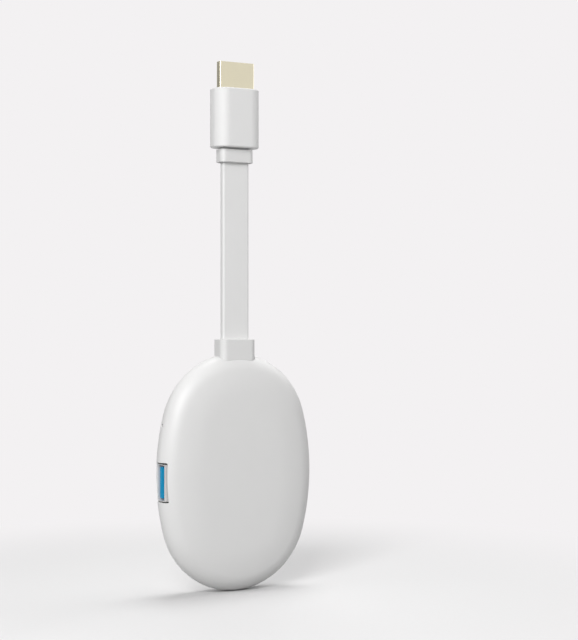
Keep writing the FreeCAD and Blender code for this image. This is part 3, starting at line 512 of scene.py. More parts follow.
class PieceMesh:
    """Points, faces and the normals of their corners, gathered into one object."""

    def __init__(self) -> None:
        """Start with nothing."""
        self.points: list[Vector] = []
        self.normals: list[Vector] = []
        self.faces: list[list[int]] = []
        self.face_normals: list[Vector | None] = []
        self.zones: list[int] = []

    def ring(self, points: Sequence[Vector], normals: Sequence[Vector]) -> list[int]:
        """Add a ring of points.

        Args:
            points: The ring's places.
            normals: The normal at each place.

        Returns:
            The numbers of the new points.
        """
        first = len(self.points)
        self.points += points
        self.normals += normals
        return list(range(first, first + len(points)))

    def face(self, corners: list[int], normal: Vector | None = None, zone: int = 0) -> None:
        """Add a face.

        Args:
            corners: The numbers of its points, anticlockwise from outside.
            normal: One normal for all its corners, or none for each point's own.
            zone: Which of the piece's finishes it has.
        """
        self.faces.append(corners)
        self.face_normals.append(normal)
        self.zones.append(zone)

    def strip(self, first: list[int], second: list[int], normal: Vector | None = None,
              zone: int = 0) -> None:
        """Join two closed rings of one length.

        Args:
            first: The numbers of the first ring's points.
            second: The numbers of the second ring's points.
            normal: One normal for all the faces, or none for each point's own.
            zone: Which of the piece's finishes they have.
        """
        for index in range(len(first)):
            after = (index + 1) % len(first)
            self.face([first[index], first[after], second[after], second[index]], normal, zone)

    def level(self, walk: Walk, height: float, inset: float = 0.0, tilt: float = 0.0,
              face: int = 1) -> list[int]:
        """Add a ring round Z at a height.

        Args:
            walk: The ring's places and outward normals.
            height: The ring's height.
            inset: How far its places move inwards.
            tilt: How far its normals turn up, as an angle.
            face: 1 where its normals point outwards, and -1 where they point inwards.

        Returns:
            The numbers of the ring's points.
        """
        flat = face * math.cos(tilt)
        return self.ring([Vector((x - inset * nx, y - inset * ny, height))
                          for (x, y), (nx, ny) in walk],
                         [Vector((nx * flat, ny * flat, math.sin(tilt))) for _, (nx, ny) in walk])

    def rounded(self, walk: Walk, height: float, radius: float, steps: int, side: int = 1,
                face: int = 1) -> list[list[int]]:
        """Add rings that round the edge between a wall and an end.

        Args:
            walk: The wall's places and outward normals.
            height: Where the end is.
            radius: The edge's radius.
            steps: How many faces the edge has.
            side: 1 at the top and -1 at the foot.
            face: 1 for an outer wall and -1 for a bore's wall.

        Returns:
            The rings, from the wall to the end.
        """
        turns = [math.pi / 2 * step / steps for step in range(steps + 1)]
        return [self.level(walk, height - side * radius * (1 - math.sin(turn)),
                           face * radius * (1 - math.cos(turn)), side * turn, face)
                for turn in turns]

    def flat_band(self, outer: list[int], inner: list[int], normal: Vector) -> None:
        """Fill the flat band between two rings round the Z axis, of any two lengths.

        Args:
            outer: The outer ring, anticlockwise.
            inner: The inner ring, anticlockwise.
            normal: Up or down, the way the band faces.
        """
        def turned(ring: list[int]) -> list[tuple[float, int]]:
            """Put a ring's points in order of their angle.

            Args:
                ring: The numbers of its points.

            Returns:
                Angles and numbers, with the first point again after a full turn.
            """
            spots = sorted((math.atan2(self.points[point].y, self.points[point].x), point)
                           for point in ring)
            return [*spots, (spots[0][0] + math.tau, spots[0][1])]

        outside, inside = turned(outer), turned(inner)
        far, near = 0, 0
        while far < len(outer) or near < len(inner):
            here, there = outside[far][1], inside[near][1]
            step_out = near == len(inner) or (
                far < len(outer) and outside[far + 1][0] < inside[near + 1][0])
            if step_out:
                far += 1
                corners = [here, outside[far][1], there]
            else:
                near += 1
                corners = [here, inside[near][1], there]
            self.face(corners if normal.z > 0 else corners[::-1], normal)

    def build(self, name: str, finishes: Sequence[Finish]) -> bpy.types.Object:
        """Make the object, with its own normals on every corner.

        Args:
            name: The object's name.
            finishes: One finish for each zone.

        Returns:
            The new object, linked to the scene.
        """
        mesh = bpy.data.meshes.new(name)
        mesh.from_pydata(self.points, [], self.faces)
        for finish in finishes:
            mesh.materials.append(finish.material())
        mesh.polygons.foreach_set("material_index", self.zones)
        corners: list[Vector] = []
        for polygon in mesh.polygons:
            shared = self.face_normals[polygon.index]
            corners += [shared or self.normals[vertex] for vertex in polygon.vertices]
        mesh.polygons.foreach_set("use_smooth", [True] * len(mesh.polygons))
        mesh.normals_split_custom_set(corners)
        return link(bpy.data.objects.new(name, mesh))


def link(item: bpy.types.Object) -> bpy.types.Object:
    """Put an object in the scene."""
    bpy.context.scene.collection.objects.link(item)
    return item


@dataclass(frozen=True)
class Outline:
    """A rounded rectangle across the cable, as places and outward normals."""

    width: float
    depth: float
    corner: float
    corner_steps: int = 10
    middle_x: float = 0.0
    middle_y: float = 0.0
    straight_step: float = math.inf

    def walk(self) -> Iterator[tuple[Point2, Point2]]:
        """Go round the outline, anticlockwise.

        Yields:
            Each place with its outward normal.
        """
        reach_x, reach_y = self.width / 2 - self.corner, self.depth / 2 - self.corner
        for quarter, (side_x, side_y) in enumerate(((1, 1), (-1, 1), (-1, -1), (1, -1))):
            for step in range(self.corner_steps + 1):
                angle = math.pi / 2 * (quarter + step / self.corner_steps)
                normal = (math.cos(angle), math.sin(angle))
                place = (self.middle_x + side_x * reach_x + self.corner * normal[0],
                         self.middle_y + side_y * reach_y + self.corner * normal[1])
                yield place, normal
            run = 2 * (reach_y if quarter % 2 else reach_x)
            parts = max(1, math.ceil(run / self.straight_step))
            for part in range(1, parts):
                along = run * part / parts
                yield (place[0] - normal[1] * along, place[1] + normal[0] * along), normal


@dataclass(frozen=True)
class Sleeve:
    """A bar along Z with a rounded outline, rounded ends, and a neck or a blind bore."""

    outline: Outline
    low: float
    high: float
    low_round: float
    high_round: float
    round_steps: int = 6
    neck: Point2 = (0.0, 0.0)
    bore: Walk = ()
    bore_from_top: bool = True
    bore_depth: float = 0.0

    def build(self, name: str, finish: Finish) -> bpy.types.Object:
        """Make the bar as an object.

        Args:
            name: The piece's name.
            finish: The piece's finish.

        Returns:
            The new piece.
        """
        piece, up = PieceMesh(), Vector((0, 0, 1))
        walk = list(self.outline.walk())
        shoulder = self.high - self.neck[0]
        rows = [*reversed(piece.rounded(walk, self.low, self.low_round, self.round_steps, -1)),
                *piece.rounded(walk, shoulder, self.high_round, self.round_steps)]
        for first, second in zip(rows, rows[1:]):
            piece.strip(first, second)
        head = rows[-1]
        if self.neck[0]:
            seat, top = (piece.level(walk, height, self.neck[1])
                         for height in (shoulder, self.high))
            piece.strip(head, seat, up)
            piece.strip(seat, top)
            head = top
        self._close(piece, rows[0], self.low, -1)
        self._close(piece, head, self.high, 1)
        return piece.build(name, [finish])

    def _close(self, piece: PieceMesh, rim: list[int], height: float, side: int) -> None:
        """Close an end, with its blind bore where it has one.

        Args:
            piece: The mesh being made.
            rim: The end's outer ring.
            height: Where the end is.
            side: 1 for the top and -1 for the foot.
        """
        out = Vector((0, 0, side))
        if not self.bore or self.bore_from_top != (side > 0):
            piece.face(rim if side > 0 else rim[::-1], out)
            return
        mouth, floor = (piece.level(self.bore, level, face=-1)
                        for level in (height, height - side * self.bore_depth))
        piece.flat_band(rim, mouth, out)
        piece.strip(*((mouth, floor) if side > 0 else (floor, mouth)))
        piece.face(floor if side > 0 else floor[::-1], out)


# The puck's housing

class HousingSide(Enum):
    """Which half of the housing a cover is."""

    FRONT = -1
    REAR = 1


class Arc(NamedTuple):
    """An arc of the puck's section, from the last arc's end to an angle of its normal."""

    radius: float
    end: float
    steps: int


@dataclass
class PillowForm:
    """The puck's form: a section of three arcs carried round an outline of four arcs."""

    middle_z: float = -139.3 * MM
    half_width: float = 30.7 * MM
    half_height: float = 43.2 * MM
    end_inset: float = 1.9 * MM
    section: tuple[Arc, ...] = (Arc(4.9 * MM, end=math.radians(45), steps=10),
                                Arc(9.0 * MM, end=math.radians(78), steps=9),
                                Arc(47.0 * MM, end=math.radians(90), steps=8))
    parting: float = 3.6 * MM
    wall: float = 1.5 * MM
    side_steps: int = 44
    end_steps: int = 64
    rear_steps: int = 10
    halvings: int = 40
    slack: float = 1e-6

    @property
    def end_radius(self) -> float:
        """Radius of the arcs at the two ends."""
        return self.half_width - self.end_inset

    @property
    def side_radius(self) -> float:
        """Radius of the arcs along the two sides."""
        return (self.half_height
                + (self.half_height - self.half_width) ** 2 / (2 * self.end_inset))

    @property
    def end_centre(self) -> float:
        """How far the end arcs' middles stand from the puck's middle."""
        return self.half_height - self.end_radius

    @property
    def side_centre(self) -> float:
        """How far the side arcs' middles stand from the puck's middle."""
        return self.side_radius - self.half_width

    @property
    def seam(self) -> float:
        """The angle at which a side arc meets an end arc."""
        return math.atan2(self.end_centre, self.side_centre)

    def outline(self) -> list[tuple[Vector, Vector]]:
        """Go round the outline in the plane of the puck.

        Returns:
            The places with their outward normals.
        """
        arcs = ((-self.side_centre, 0.0, self.side_radius, -self.seam, 2 * self.seam,
                 self.side_steps),
                (0.0, self.end_centre, self.end_radius, self.seam, math.pi - 2 * self.seam,
                 self.end_steps),
                (self.side_centre, 0.0, self.side_radius, math.pi - self.seam,
                 2 * self.seam, self.side_steps),
                (0.0, -self.end_centre, self.end_radius, math.pi + self.seam,
                 math.pi - 2 * self.seam, self.end_steps))
        walk = []
        for x, z, radius, start, sweep, steps in arcs:
            for step in range(steps):
                angle = start + sweep * step / steps
                normal = Vector((math.cos(angle), 0, math.sin(angle)))
                walk.append((Vector((x, 0, z + self.middle_z)) + normal * radius, normal))
        return walk

    def place_at(self, angle: float, inset: float = 0.0) -> Point2:
        """How far inside the outline and how high the section is where its normal tilts so.

        Args:
            angle: The normal's angle, from 0 at the widest place to 90 degrees on top.
            inset: How far the surface is moved inwards.

        Returns:
            The distance inside the outline and the height.
        """
        reach, height, before = inset, 0.0, 0.0
        for radius, end, _ in self.section:
            after = min(angle, end)
            if after > before:
                reach += (radius - inset) * (math.cos(before) - math.cos(after))
                height += (radius - inset) * (math.sin(after) - math.sin(before))
                before = after
        return reach, height

    def angle_at(self, height: float, inset: float = 0.0) -> float:
        """Find the normal's angle at a height of the section, by halving.

        Args:
            height: The height above the puck's middle plane.
            inset: How far the surface is moved inwards.

        Returns:
            The angle.
        """
        low, high = 0.0, math.pi / 2
        for _ in range(self.halvings):
            middle = (low + high) / 2
            if self.place_at(middle, inset)[1] < height:
                low = middle
            else:
                high = middle
        return low

    def _inset_at(self, y: float) -> float:
        """How far inside the outline the surface is at a height."""
        return self.place_at(self.angle_at(abs(y)))[0]

    def left_x(self, y: float, z: float) -> float:
        """X of the surface on the left side."""
        radius = self.side_radius - self._inset_at(y)
        return self.side_centre - math.sqrt(radius ** 2 - (z - self.middle_z) ** 2)

    def lower_z(self, x: float, y: float) -> float:
        """Z of the surface at the lower end."""
        radius = self.end_radius - self._inset_at(y)
        return self.middle_z - self.end_centre - math.sqrt(radius ** 2 - x ** 2)

    def profile(self, inset: float, start: float) -> list[Point3]:
        """The section from a first angle to the flat middle.

        Args:
            inset: How far the surface is moved inwards.
            start: The first angle, less than 0 beyond the widest place.

        Returns:
            How far inside the outline, the height and the normal's angle of each place.
        """
        below = self.rear_steps if start < 0 else 0
        angles = [start * (1 - step / below) for step in range(below)] + [max(start, 0.0)]
        before = max(start, 0.0)
        for _, end, steps in self.section:
            if end > before:
                angles += [before + (end - before) * step / steps
                           for step in range(1, steps + 1)]
                before = end
        places = [self.place_at(abs(angle), inset) for angle in angles]
        return [(reach, math.copysign(height, angle), angle)
                for (reach, height), angle in zip(places, angles)]

    def normal_at(self, place: Vector) -> Vector:
        """The outside surface's normal at a place on it.

        Args:
            place: The place, in the frame's metres.

        Returns:
            The normal.
        """
        local = place - Vector((0, 0, self.middle_z))
        side = 1 if local.x >= 0 else -1
        from_side = Vector((local.x + side * self.side_centre, 0, local.z))
        if abs(math.atan2(from_side.z, side * from_side.x)) <= self.seam:
            reach, out = self.side_radius - from_side.length, from_side.normalized()
        else:
            level = 1 if local.z >= 0 else -1
            from_end = Vector((local.x, 0, local.z - level * self.end_centre))
            reach, out = self.end_radius - from_end.length, from_end.normalized()
        angle = self._tilt(reach, abs(local.y))
        face = 1 if local.y >= 0 else -1
        return out * math.cos(angle) + Vector((0, face, 0)) * math.sin(angle)

    def _tilt(self, reach: float, height: float) -> float:
        """The normal's angle out of the puck's plane.

        Args:
            reach: How far the place is inside the outline.
            height: How far it is from the puck's middle plane.

        Returns:
            The angle.
        """
        centre_reach, centre_height, before, last = 0.0, 0.0, 0.0, 0.0
        for radius, end, _ in self.section:
            centre_reach += (radius - last) * math.cos(before)
            centre_height -= (radius - last) * math.sin(before)
            angle = math.atan2(height - centre_height, max(centre_reach - reach, 0.0))
            if angle <= end + self.slack:
                return max(angle, 0.0)
            before, last = end, radius
        return math.pi / 2


@dataclass
class Cover:
    """One half of the housing, as a thin shell with its openings cut through."""

    side: HousingSide
    form: PillowForm = field(default_factory=PillowForm)
    seam_bevel: float = 0.12 * MM
    seam_drop: float = 0.072 * MM
    OUTSIDE = 0
    INSIDE = 1
    ON_FORM = 0.97

    def _surface(self, piece: PieceMesh, inset: float) -> list[list[int]]:
        """Rings of a surface from the parting plane to the flat middle.

        Args:
            piece: The mesh being made.
            inset: How far the surface is inside the form.

        Returns:
            The rings' points.
        """
        form, face = self.form, self.side.value
        start = form.angle_at(form.parting, inset)
        if self.side is HousingSide.FRONT:
            start = -start
        rows = []
        for reach, height, angle in form.profile(inset, start):
            spots, leans = [], []
            for place, out in form.outline():
                spots.append(place - out * reach + Vector((0, face * height, 0)))
                leans.append(out * math.cos(angle) + Vector((0, face * math.sin(angle), 0)))
            rows.append(piece.ring(spots, leans))
        return rows

    def blank(self) -> bpy.types.Object:
        """The shell before its openings are cut.

        Returns:
            The new object.
        """
        piece, face = PieceMesh(), self.side.value
        outside, inside = self._surface(piece, 0.0), self._surface(piece, self.form.wall)
        front = Vector((0, face, 0))
        for rows, zone in ((outside, self.OUTSIDE), (inside, self.INSIDE)):
            for first, second in zip(rows, rows[1:]):
                piece.strip(first, second, zone=zone)
            piece.face(list(rows[-1]), front, zone)
        rim_out = self._bevel(piece, outside[0])
        piece.strip(outside[0], rim_out, zone=self.OUTSIDE)
        piece.strip(rim_out, inside[0], -front, self.INSIDE)
        # The inner surface and the seam faces take the darker housing white, which is painted
        # shade
        item = piece.build(f"{self.side.name.lower()}_cover_blank",
                           [Finish.HOUSING, Finish.HOUSING_INSIDE])
        self._face_outwards(item)
        return item

    def _bevel(self, piece: PieceMesh, ring: list[int]) -> list[int]:
        """Draw the seam's edge ring back and add a ring a little inside it.

        Args:
            piece: The mesh being made.
            ring: The edge ring's points.

        Returns:
            The new ring's points.
        """
        face, spots = self.side.value, []
        for number, (_, out) in zip(ring, self.form.outline()):
            spots.append(piece.points[number] - out * self.seam_bevel)
            piece.points[number] = (piece.points[number]
                                    + Vector((0, face * self.seam_drop, 0)))
        return piece.ring(spots, [piece.normals[number] for number in ring])

    @staticmethod
    def _face_outwards(item: bpy.types.Object) -> None:
        """Turn every face of a closed mesh outwards.

        Args:
            item: The object with the mesh.
        """
        work = bmesh.new()
        work.from_mesh(item.data)
        bmesh.ops.recalc_face_normals(work, faces=work.faces)
        work.to_mesh(item.data)
        work.free()

    def build(self, name: str, cutters: Sequence[bpy.types.Object]) -> bpy.types.Object:
        """Cut the openings and give every corner the form's own normal.

        Args:
            name: The finished piece's name.
            cutters: Closed objects to cut away.

        Returns:
            The finished cover.
        """
        blank = self.blank()
        for cutter in cutters:
            knife = blank.modifiers.new(cutter.name, "BOOLEAN")
            knife.object = cutter
            knife.operation = "DIFFERENCE"
            knife.solver = "EXACT"
        seen = blank.evaluated_get(bpy.context.evaluated_depsgraph_get())
        mesh = bpy.data.meshes.new_from_object(seen)
        mesh.name = name
        bpy.data.objects.remove(blank)
        self._shade(mesh)
        return link(bpy.data.objects.new(name, mesh))

    def _shade(self, mesh: bpy.types.Mesh) -> None:
        """Smooth the outside after the form, and leave the cut faces flat.

        Args:
            mesh: The cut shell.
        """
        corners: list[Vector] = []
        for polygon in mesh.polygons:
            polygon.use_smooth = True
            middle = self.form.normal_at(polygon.center)
            curved = (polygon.material_index == self.OUTSIDE
                      and middle.dot(polygon.normal) > self.ON_FORM)
            for vertex in polygon.vertices:
                place = mesh.vertices[vertex].co
                corners.append(self.form.normal_at(place) if curved else polygon.normal)
        mesh.normals_split_custom_set(corners)


class Way(Enum):
    """The axis along which an opening runs."""

    ACROSS = "x"
    ALONG = "z"

    def spot(self, first: float, second: float, level: float) -> Vector:
        """A place from its two values off the axis, in the axes' order, and one on it."""
        return Vector((level, first, second) if self is Way.ACROSS else (first, second, level))


class Cutters:
    """Closed shapes that cut the housing's openings."""

    # How far a rounded edge's rings stand outwards and above the surface, in its radius
    ROUNDED = ((0.0, -1.0), (0.29, -0.29), (1.0, 0.0), (2.0, 0.41))

    def __init__(self) -> None:
        """Start with none."""
        self.made: list[bpy.types.Object] = []

    def _loft(self, name: str, rows: Sequence[Sequence[Vector]], zones: Sequence[int]
              ) -> bpy.types.Object:
        """A closed shape through rows of places.

        Args:
            name: The cutter's name.
            rows: Rings of one length, from the inner end to the outer one.
            zones: The cover's zone that each band between two rows cuts.

        Returns:
            The cutter.
        """
        work = bmesh.new()
        rings = [[work.verts.new(place) for place in row] for row in rows]
        for end in (rings[0], rings[-1]):
            work.faces.new(end).material_index = Cover.INSIDE
        for low, high, zone in zip(rings, rings[1:], zones):
            for index in range(len(low)):
                after = (index + 1) % len(low)
                band = work.faces.new((low[index], low[after], high[after], high[index]))
                band.material_index = zone
        bmesh.ops.recalc_face_normals(work, faces=work.faces)
        mesh = bpy.data.meshes.new(name)
        work.to_mesh(mesh)
        work.free()
        # The cut walls of the openings take the darker housing white, which paints the shade
        # inside the openings
        for finish in (Finish.HOUSING, Finish.HOUSING_INSIDE):
            mesh.materials.append(finish.material())
        item = link(bpy.data.objects.new(name, mesh))
        self.made.append(item)
        return item

    def prism(self, name: str, walk: Walk, way: Way, low: float, high: float
              ) -> bpy.types.Object:
        """A prism between two levels of an axis."""
        rows = [[way.spot(*place, level) for place, _ in walk] for level in (low, high)]
        return self._loft(name, rows, [Cover.INSIDE])

    def flared(self, name: str, walk: Walk, way: Way, floor: float, outside: float,
               surface: Callable[[float, float], float], lip: float) -> bpy.types.Object:
        """A prism that widens at the housing's surface, which rounds the opening's edge.

        Args:
            name: The cutter's name.
            walk: Places and outward normals of the opening across the axis.
            way: The axis.
            floor: Where the cutter starts inside the housing.
            outside: Where it ends, outside the housing.
            surface: The housing's surface along the axis at a place across it.
            lip: The radius of the opening's edge.

        Returns:
            The cutter.
        """
        side = math.copysign(1, outside - floor)
        rows = [[way.spot(*place, floor) for place, _ in walk]]
        for share, rise in self.ROUNDED:
            spots = [(x + nx * share * lip, y + ny * share * lip) for (x, y), (nx, ny) in walk]
            rows.append([way.spot(*spot, surface(*spot) + side * rise * lip)
                         for spot in spots])
        rows.append([way.spot(*spot, outside) for spot in spots])
        edge = [Cover.OUTSIDE] * (len(self.ROUNDED) - 1)
        return self._loft(name, rows, [Cover.INSIDE, *edge, Cover.INSIDE])

    def clear(self) -> None:
        """Take the cutters out of the scene."""
        for item in self.made:
            bpy.data.objects.remove(item)
        self.made = []


@dataclass
class Housing:
    """Front and rear cover with the openings for collar, ports and pinhole."""

    form: PillowForm = field(default_factory=PillowForm)
    collar_hole: Outline = Outline(14.2 * MM, 8.55 * MM, corner=2.5 * MM)
    collar_span: Point2 = (COLLAR_FOOT, -88.0 * MM)
    data_span: Point2 = (-148.9 * MM, -134.7 * MM)
    data_depth: Point2 = (-4.0 * MM, 2.8 * MM)
    data_inner_x: float = -26.4 * MM
    data_corner: float = 0.5 * MM
    data_step: float = 0.5 * MM
    power_hole: Outline = Outline(9.8 * MM, 4.1 * MM, corner=2.04 * MM, middle_y=0.2 * MM,
                                  straight_step=0.45 * MM)
    power_inner_z: float = -179.3 * MM
    port_lip: float = 0.2 * MM
    pinhole: Point3 = (0.05 * MM, -121.6 * MM, 0.65 * MM)
    pin_inner_x: float = -25 * MM
    pin_lip: float = 0.15 * MM
    pin_steps: int = 24
    outside_x: float = -40 * MM
    outside_z: float = -190 * MM

    def _data_walk(self) -> Walk:
        """The data opening across X, with round corners.

        Returns:
            Its places and outward normals.
        """
        (front, back), (low, high) = self.data_depth, self.data_span
        return list(Outline(back - front, high - low, self.data_corner, corner_steps=6,
                            middle_x=(front + back) / 2, middle_y=(low + high) / 2,
                            straight_step=self.data_step).walk())

    def _pin_walk(self) -> Walk:
        """The pinhole across X.

        Returns:
            Its places and outward normals.
        """
        y, z, radius = self.pinhole
        turns = [math.tau * step / self.pin_steps for step in range(self.pin_steps)]
        return [((y + radius * math.cos(turn), z + radius * math.sin(turn)),
                 (math.cos(turn), math.sin(turn))) for turn in turns]

    def build(self) -> list[bpy.types.Object]:
        """Cut both covers and put them on the puck.

        Returns:
            The front and the rear cover.
        """
        cutters = Cutters()
        collar = cutters.prism("collar_way", list(self.collar_hole.walk()), Way.ALONG,
                               *self.collar_span)
        data = cutters.flared("data_way", self._data_walk(), Way.ACROSS, self.data_inner_x,
                              self.outside_x, self.form.left_x, self.port_lip)
        power = cutters.flared("power_way", list(self.power_hole.walk()), Way.ALONG,
                               self.power_inner_z, self.outside_z, self.form.lower_z,
                               self.port_lip)
        pin = cutters.flared("pin_way", self._pin_walk(), Way.ACROSS, self.pin_inner_x,
                             self.outside_x, self.form.left_x, self.pin_lip)
        front = Cover(HousingSide.FRONT, self.form).build("front_cover",
                                                          [collar, data, power, pin])
        rear = Cover(HousingSide.REAR, self.form).build("rear_cover", [collar])
        cutters.clear()
        for piece, node in ((front, "front_shell"), (rear, "rear_shell")):
            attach(piece, "puck")
            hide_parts(node)
        return [front, rear]


# Plug, cable and collar

@dataclass
class PlugMetal:
    """The plug's drawn metal shell, open at its tip, with rounded edges."""

    width: float = 13.9 * MM
    depth: float = 4.45 * MM
    wall: float = 0.35 * MM
    bevel: Point2 = (1.9 * MM, 1.75 * MM)
    edge: float = 0.42 * MM
    tip: float = 9.7 * MM
    root: float = -8.0 * MM
    lip: float = 0.03 * MM
    lip_steps: int = 4
    corner_steps: int = 6
    least_corner: float = 0.06 * MM

    def _corners(self, inset: float) -> list[Point2]:
        """Corners of the section, anticlockwise from the front right.

        Args:
            inset: How far the section is moved inwards.

        Returns:
            The corners' places.
        """
        half_width, half_depth = self.width / 2 - inset, self.depth / 2 - inset
        in_x, in_y = self.bevel
        return [(half_width, -half_depth), (half_width, half_depth - in_y),
                (half_width - in_x, half_depth), (in_x - half_width, half_depth),
                (-half_width, half_depth - in_y), (-half_width, -half_depth)]

    def section(self, inset: float) -> Walk:
        """The section with its corners rounded.

        Args:
            inset: How far it is moved inwards.

        Returns:
            Its places and outward normals.
        """
        corners = self._corners(inset)
        radius = max(self.edge - inset, self.least_corner)
        walk = []
        for index, (x, y) in enumerate(corners):
            here = Vector((x, y))
            before = (here - Vector(corners[index - 1])).normalized()
            after = (Vector(corners[(index + 1) % len(corners)]) - here).normalized()
            first = Vector((before.y, -before.x))
            last = Vector((after.y, -after.x))
            turn = before.angle(after)
            centre = here - (first + last).normalized() * radius / math.cos(turn / 2)
            for step in range(self.corner_steps + 1):
                share = step / self.corner_steps
                out = (first * math.sin((1 - share) * turn)
                       + last * math.sin(share * turn)) / math.sin(turn)
                out.normalize()
                place = centre + out * radius
                walk.append(((place.x, place.y), (out.x, out.y)))
        return walk

    def build(self) -> bpy.types.Object:
        """Make the shell.

        Returns:
            The new piece.
        """
        piece = PieceMesh()
        outer, inner = self.section(0.0), self.section(self.wall)
        rows = [piece.level(outer, self.root),
                *piece.rounded(outer, self.tip, self.lip, self.lip_steps),
                *reversed(piece.rounded(inner, self.tip, self.lip, self.lip_steps, face=-1)),
                piece.level(inner, self.root, face=-1)]
        for first, second in zip(rows, rows[1:]):
            piece.strip(first, second)
        piece.strip(rows[-1], rows[0], Vector((0, 0, -1)))
        return piece.build("plug_metal", [Finish.PLUG_PLATING])


@dataclass
class PlugEnd:
    """The video plug: metal shell, housing and cable boot."""

    metal: PlugMetal = field(default_factory=PlugMetal)
    housing: Sleeve = Sleeve(
        Outline(18 * MM, 10.9 * MM, corner=4.8 * MM, corner_steps=16),
        low=HOUSING_FOOT, high=0.0, low_round=0.55 * MM, high_round=0.45 * MM,
        bore=PlugMetal().section(-0.03 * MM), bore_depth=8.2 * MM)
    boot: Sleeve = Sleeve(
        Outline(13.25 * MM, 6.2 * MM, corner=2.0 * MM),
        low=BOOT_FOOT, high=HOUSING_FOOT, low_round=0.35 * MM, high_round=0.15 * MM,
        neck=(0.65 * MM, 1.6 * MM), bore_from_top=False, bore_depth=2.6 * MM,
        bore=tuple(Outline(12.2 * MM, 4.7 * MM, corner=1.5 * MM, corner_steps=8).walk()))

    def build(self) -> list[bpy.types.Object]:
        """Make the three pieces and put them on the plug.

        Returns:
            The shell, the housing and the boot.
        """
        metal = self.metal.build()
        housing = self.housing.build("plug_housing", Finish.PLUG_WHITE)
        boot = self.boot.build("plug_boot_cover", Finish.RELIEF_WHITE)
        rows = ((metal, "plug_shell", "plated_steel"),
                (housing, "plug_overmold", "white_plastic"),
                (boot, "plug_boot", "white_rubber"))
        for piece, node, slot in rows:
            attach(piece, "plug")
            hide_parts(node)
        return [metal, housing, boot]


@dataclass
class FlatCable:
    """The free flat cable between the plug's boot and the puck's collar."""

    section: Outline = Outline(10.6 * MM, 2.8 * MM, corner=0.8 * MM, corner_steps=8)
    exit: Point3 = (0.0, 0.0, CABLE_FOOT)
    far: Point3 = (0.0, 0.0, BOOT_FOOT)
    length: float = 64.1 * MM
    route_steps: int = 24
    route: list[Vector] = field(default_factory=list)

    def _walked(self) -> list[Vector]:
        """Follow the route's spline from the puck up to the plug.

        Returns:
            The places that it gives.
        """
        line = bpy.data.curves.new("cable_route", "CURVE")
        line.dimensions = "3D"
        spline = line.splines.new("NURBS")
        stops = [self.exit, tuple((a + b) / 2 for a, b in zip(self.exit, self.far)), self.far]
        spline.points.add(len(stops) - 1)
        for point, stop in zip(spline.points, stops):
            point.co = (*stop, 1.0)
        spline.order_u = 3
        spline.use_endpoint_u = True
        spline.resolution_u = self.route_steps
        holder = link(bpy.data.objects.new("cable_route", line))
        seen = holder.evaluated_get(bpy.context.evaluated_depsgraph_get())
        walked = bpy.data.meshes.new_from_object(seen)
        places = [vertex.co.copy() for vertex in walked.vertices]
        bpy.data.objects.remove(holder)
        bpy.data.meshes.remove(walked)
        bpy.data.curves.remove(line)
        return places

    def build(self) -> bpy.types.Object:
        """Make the cable as a tube along its route.

        Returns:
            The new piece.
        """
        piece = PieceMesh()
        self.route = self._walked()
        places = list(self.section.walk())
        rows = [piece.ring([Vector((x, y, 0)) + spot for (x, y), _ in places],
                           [Vector((nx, ny, 0)) for _, (nx, ny) in places])
                for spot in self.route]
        for first, second in zip(rows, rows[1:]):
            piece.strip(first, second)
        piece.face(rows[0][::-1], Vector((0, 0, -1)))
        piece.face(rows[-1], Vector((0, 0, 1)))
        cable = piece.build("cable_jacket", [Finish.JACKET])
        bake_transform(cable)
        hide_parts("flat_cable")
        return cable


@dataclass
class Collar:
    """The strain relief where the cable enters the puck."""

    neck: Sleeve = Sleeve(
        Outline(14 * MM, 8.35 * MM, corner=2.4 * MM),
        low=COLLAR_FOOT, high=CABLE_FOOT, low_round=0.1 * MM, high_round=0.45 * MM)

    def build(self) -> bpy.types.Object:
        """Make the collar and put it on the puck.

        Returns:
            The new piece.
        """
        collar = self.neck.build("collar_cover", Finish.RELIEF_WHITE)
        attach(collar, "puck")
        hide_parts("cable_collar")
        return collar


# Finishes of the frame's nodes

@dataclass
class Dressing:
    """Finishes for the frame's own nodes."""

    finishes: dict[Finish, tuple[str, ...]] = field(default_factory=lambda: {
        Finish.PLUG_PLATING: ("plug_shell",),
        Finish.INSULATOR_BLACK: ("plug_insulator",),
        Finish.INNER_MOULD: ("plug_inner_mould",),
        Finish.COPPER: ("plug_wires", "cable_wires"),
        Finish.CONTACT_GOLD: ("plug_contacts", "data_port_contacts", "power_port_contacts",
                              "antennas"),
        Finish.JACKET: ("cable_tail_plug", "flat_cable", "cable_tail_puck"),
        Finish.BOARD_METAL: ("plug_rear_can", "cable_clamp", "board_screws", "board_crystal",
                             "radio_module", "shield_frame", "shield_lid"),
        Finish.MASK: ("main_board",),
        Finish.CHIP_CASE: ("processor", "memory_chips", "power_chip", "storage_chip",
                           "reset_switch_body"),
        Finish.FERRITE: ("power_inductors",),
        Finish.CERAMIC: ("board_capacitors",),
        Finish.PAD: ("processor_pad", "spreader_pad"),
        Finish.SPREADER: ("heat_spreader",),
        Finish.PORT_METAL: ("data_port_shell", "power_port_shell"),
        Finish.TONGUE_BLUE: ("data_port_tongue",),
        Finish.TONGUE_BLACK: ("power_port_tongue",),
        Finish.PLUNGER: ("reset_plunger",),
    })
    otherwise: Finish = Finish.HOUSING

    def apply(self, nodes: dict[str, bpy.types.Object]) -> None:
        """Give each of the frame's nodes its finish.

        Args:
            nodes: The nodes by name.
        """
        chosen = {name: finish for finish, names in self.finishes.items() for name in names}
        for name, node in nodes.items():
            finish = chosen.get(name, self.otherwise)
            node.data.materials.clear()
            node.data.materials.append(finish.material())
            LOG.info("node %s: %s", name, finish.name.lower())


# Camera, floor and light

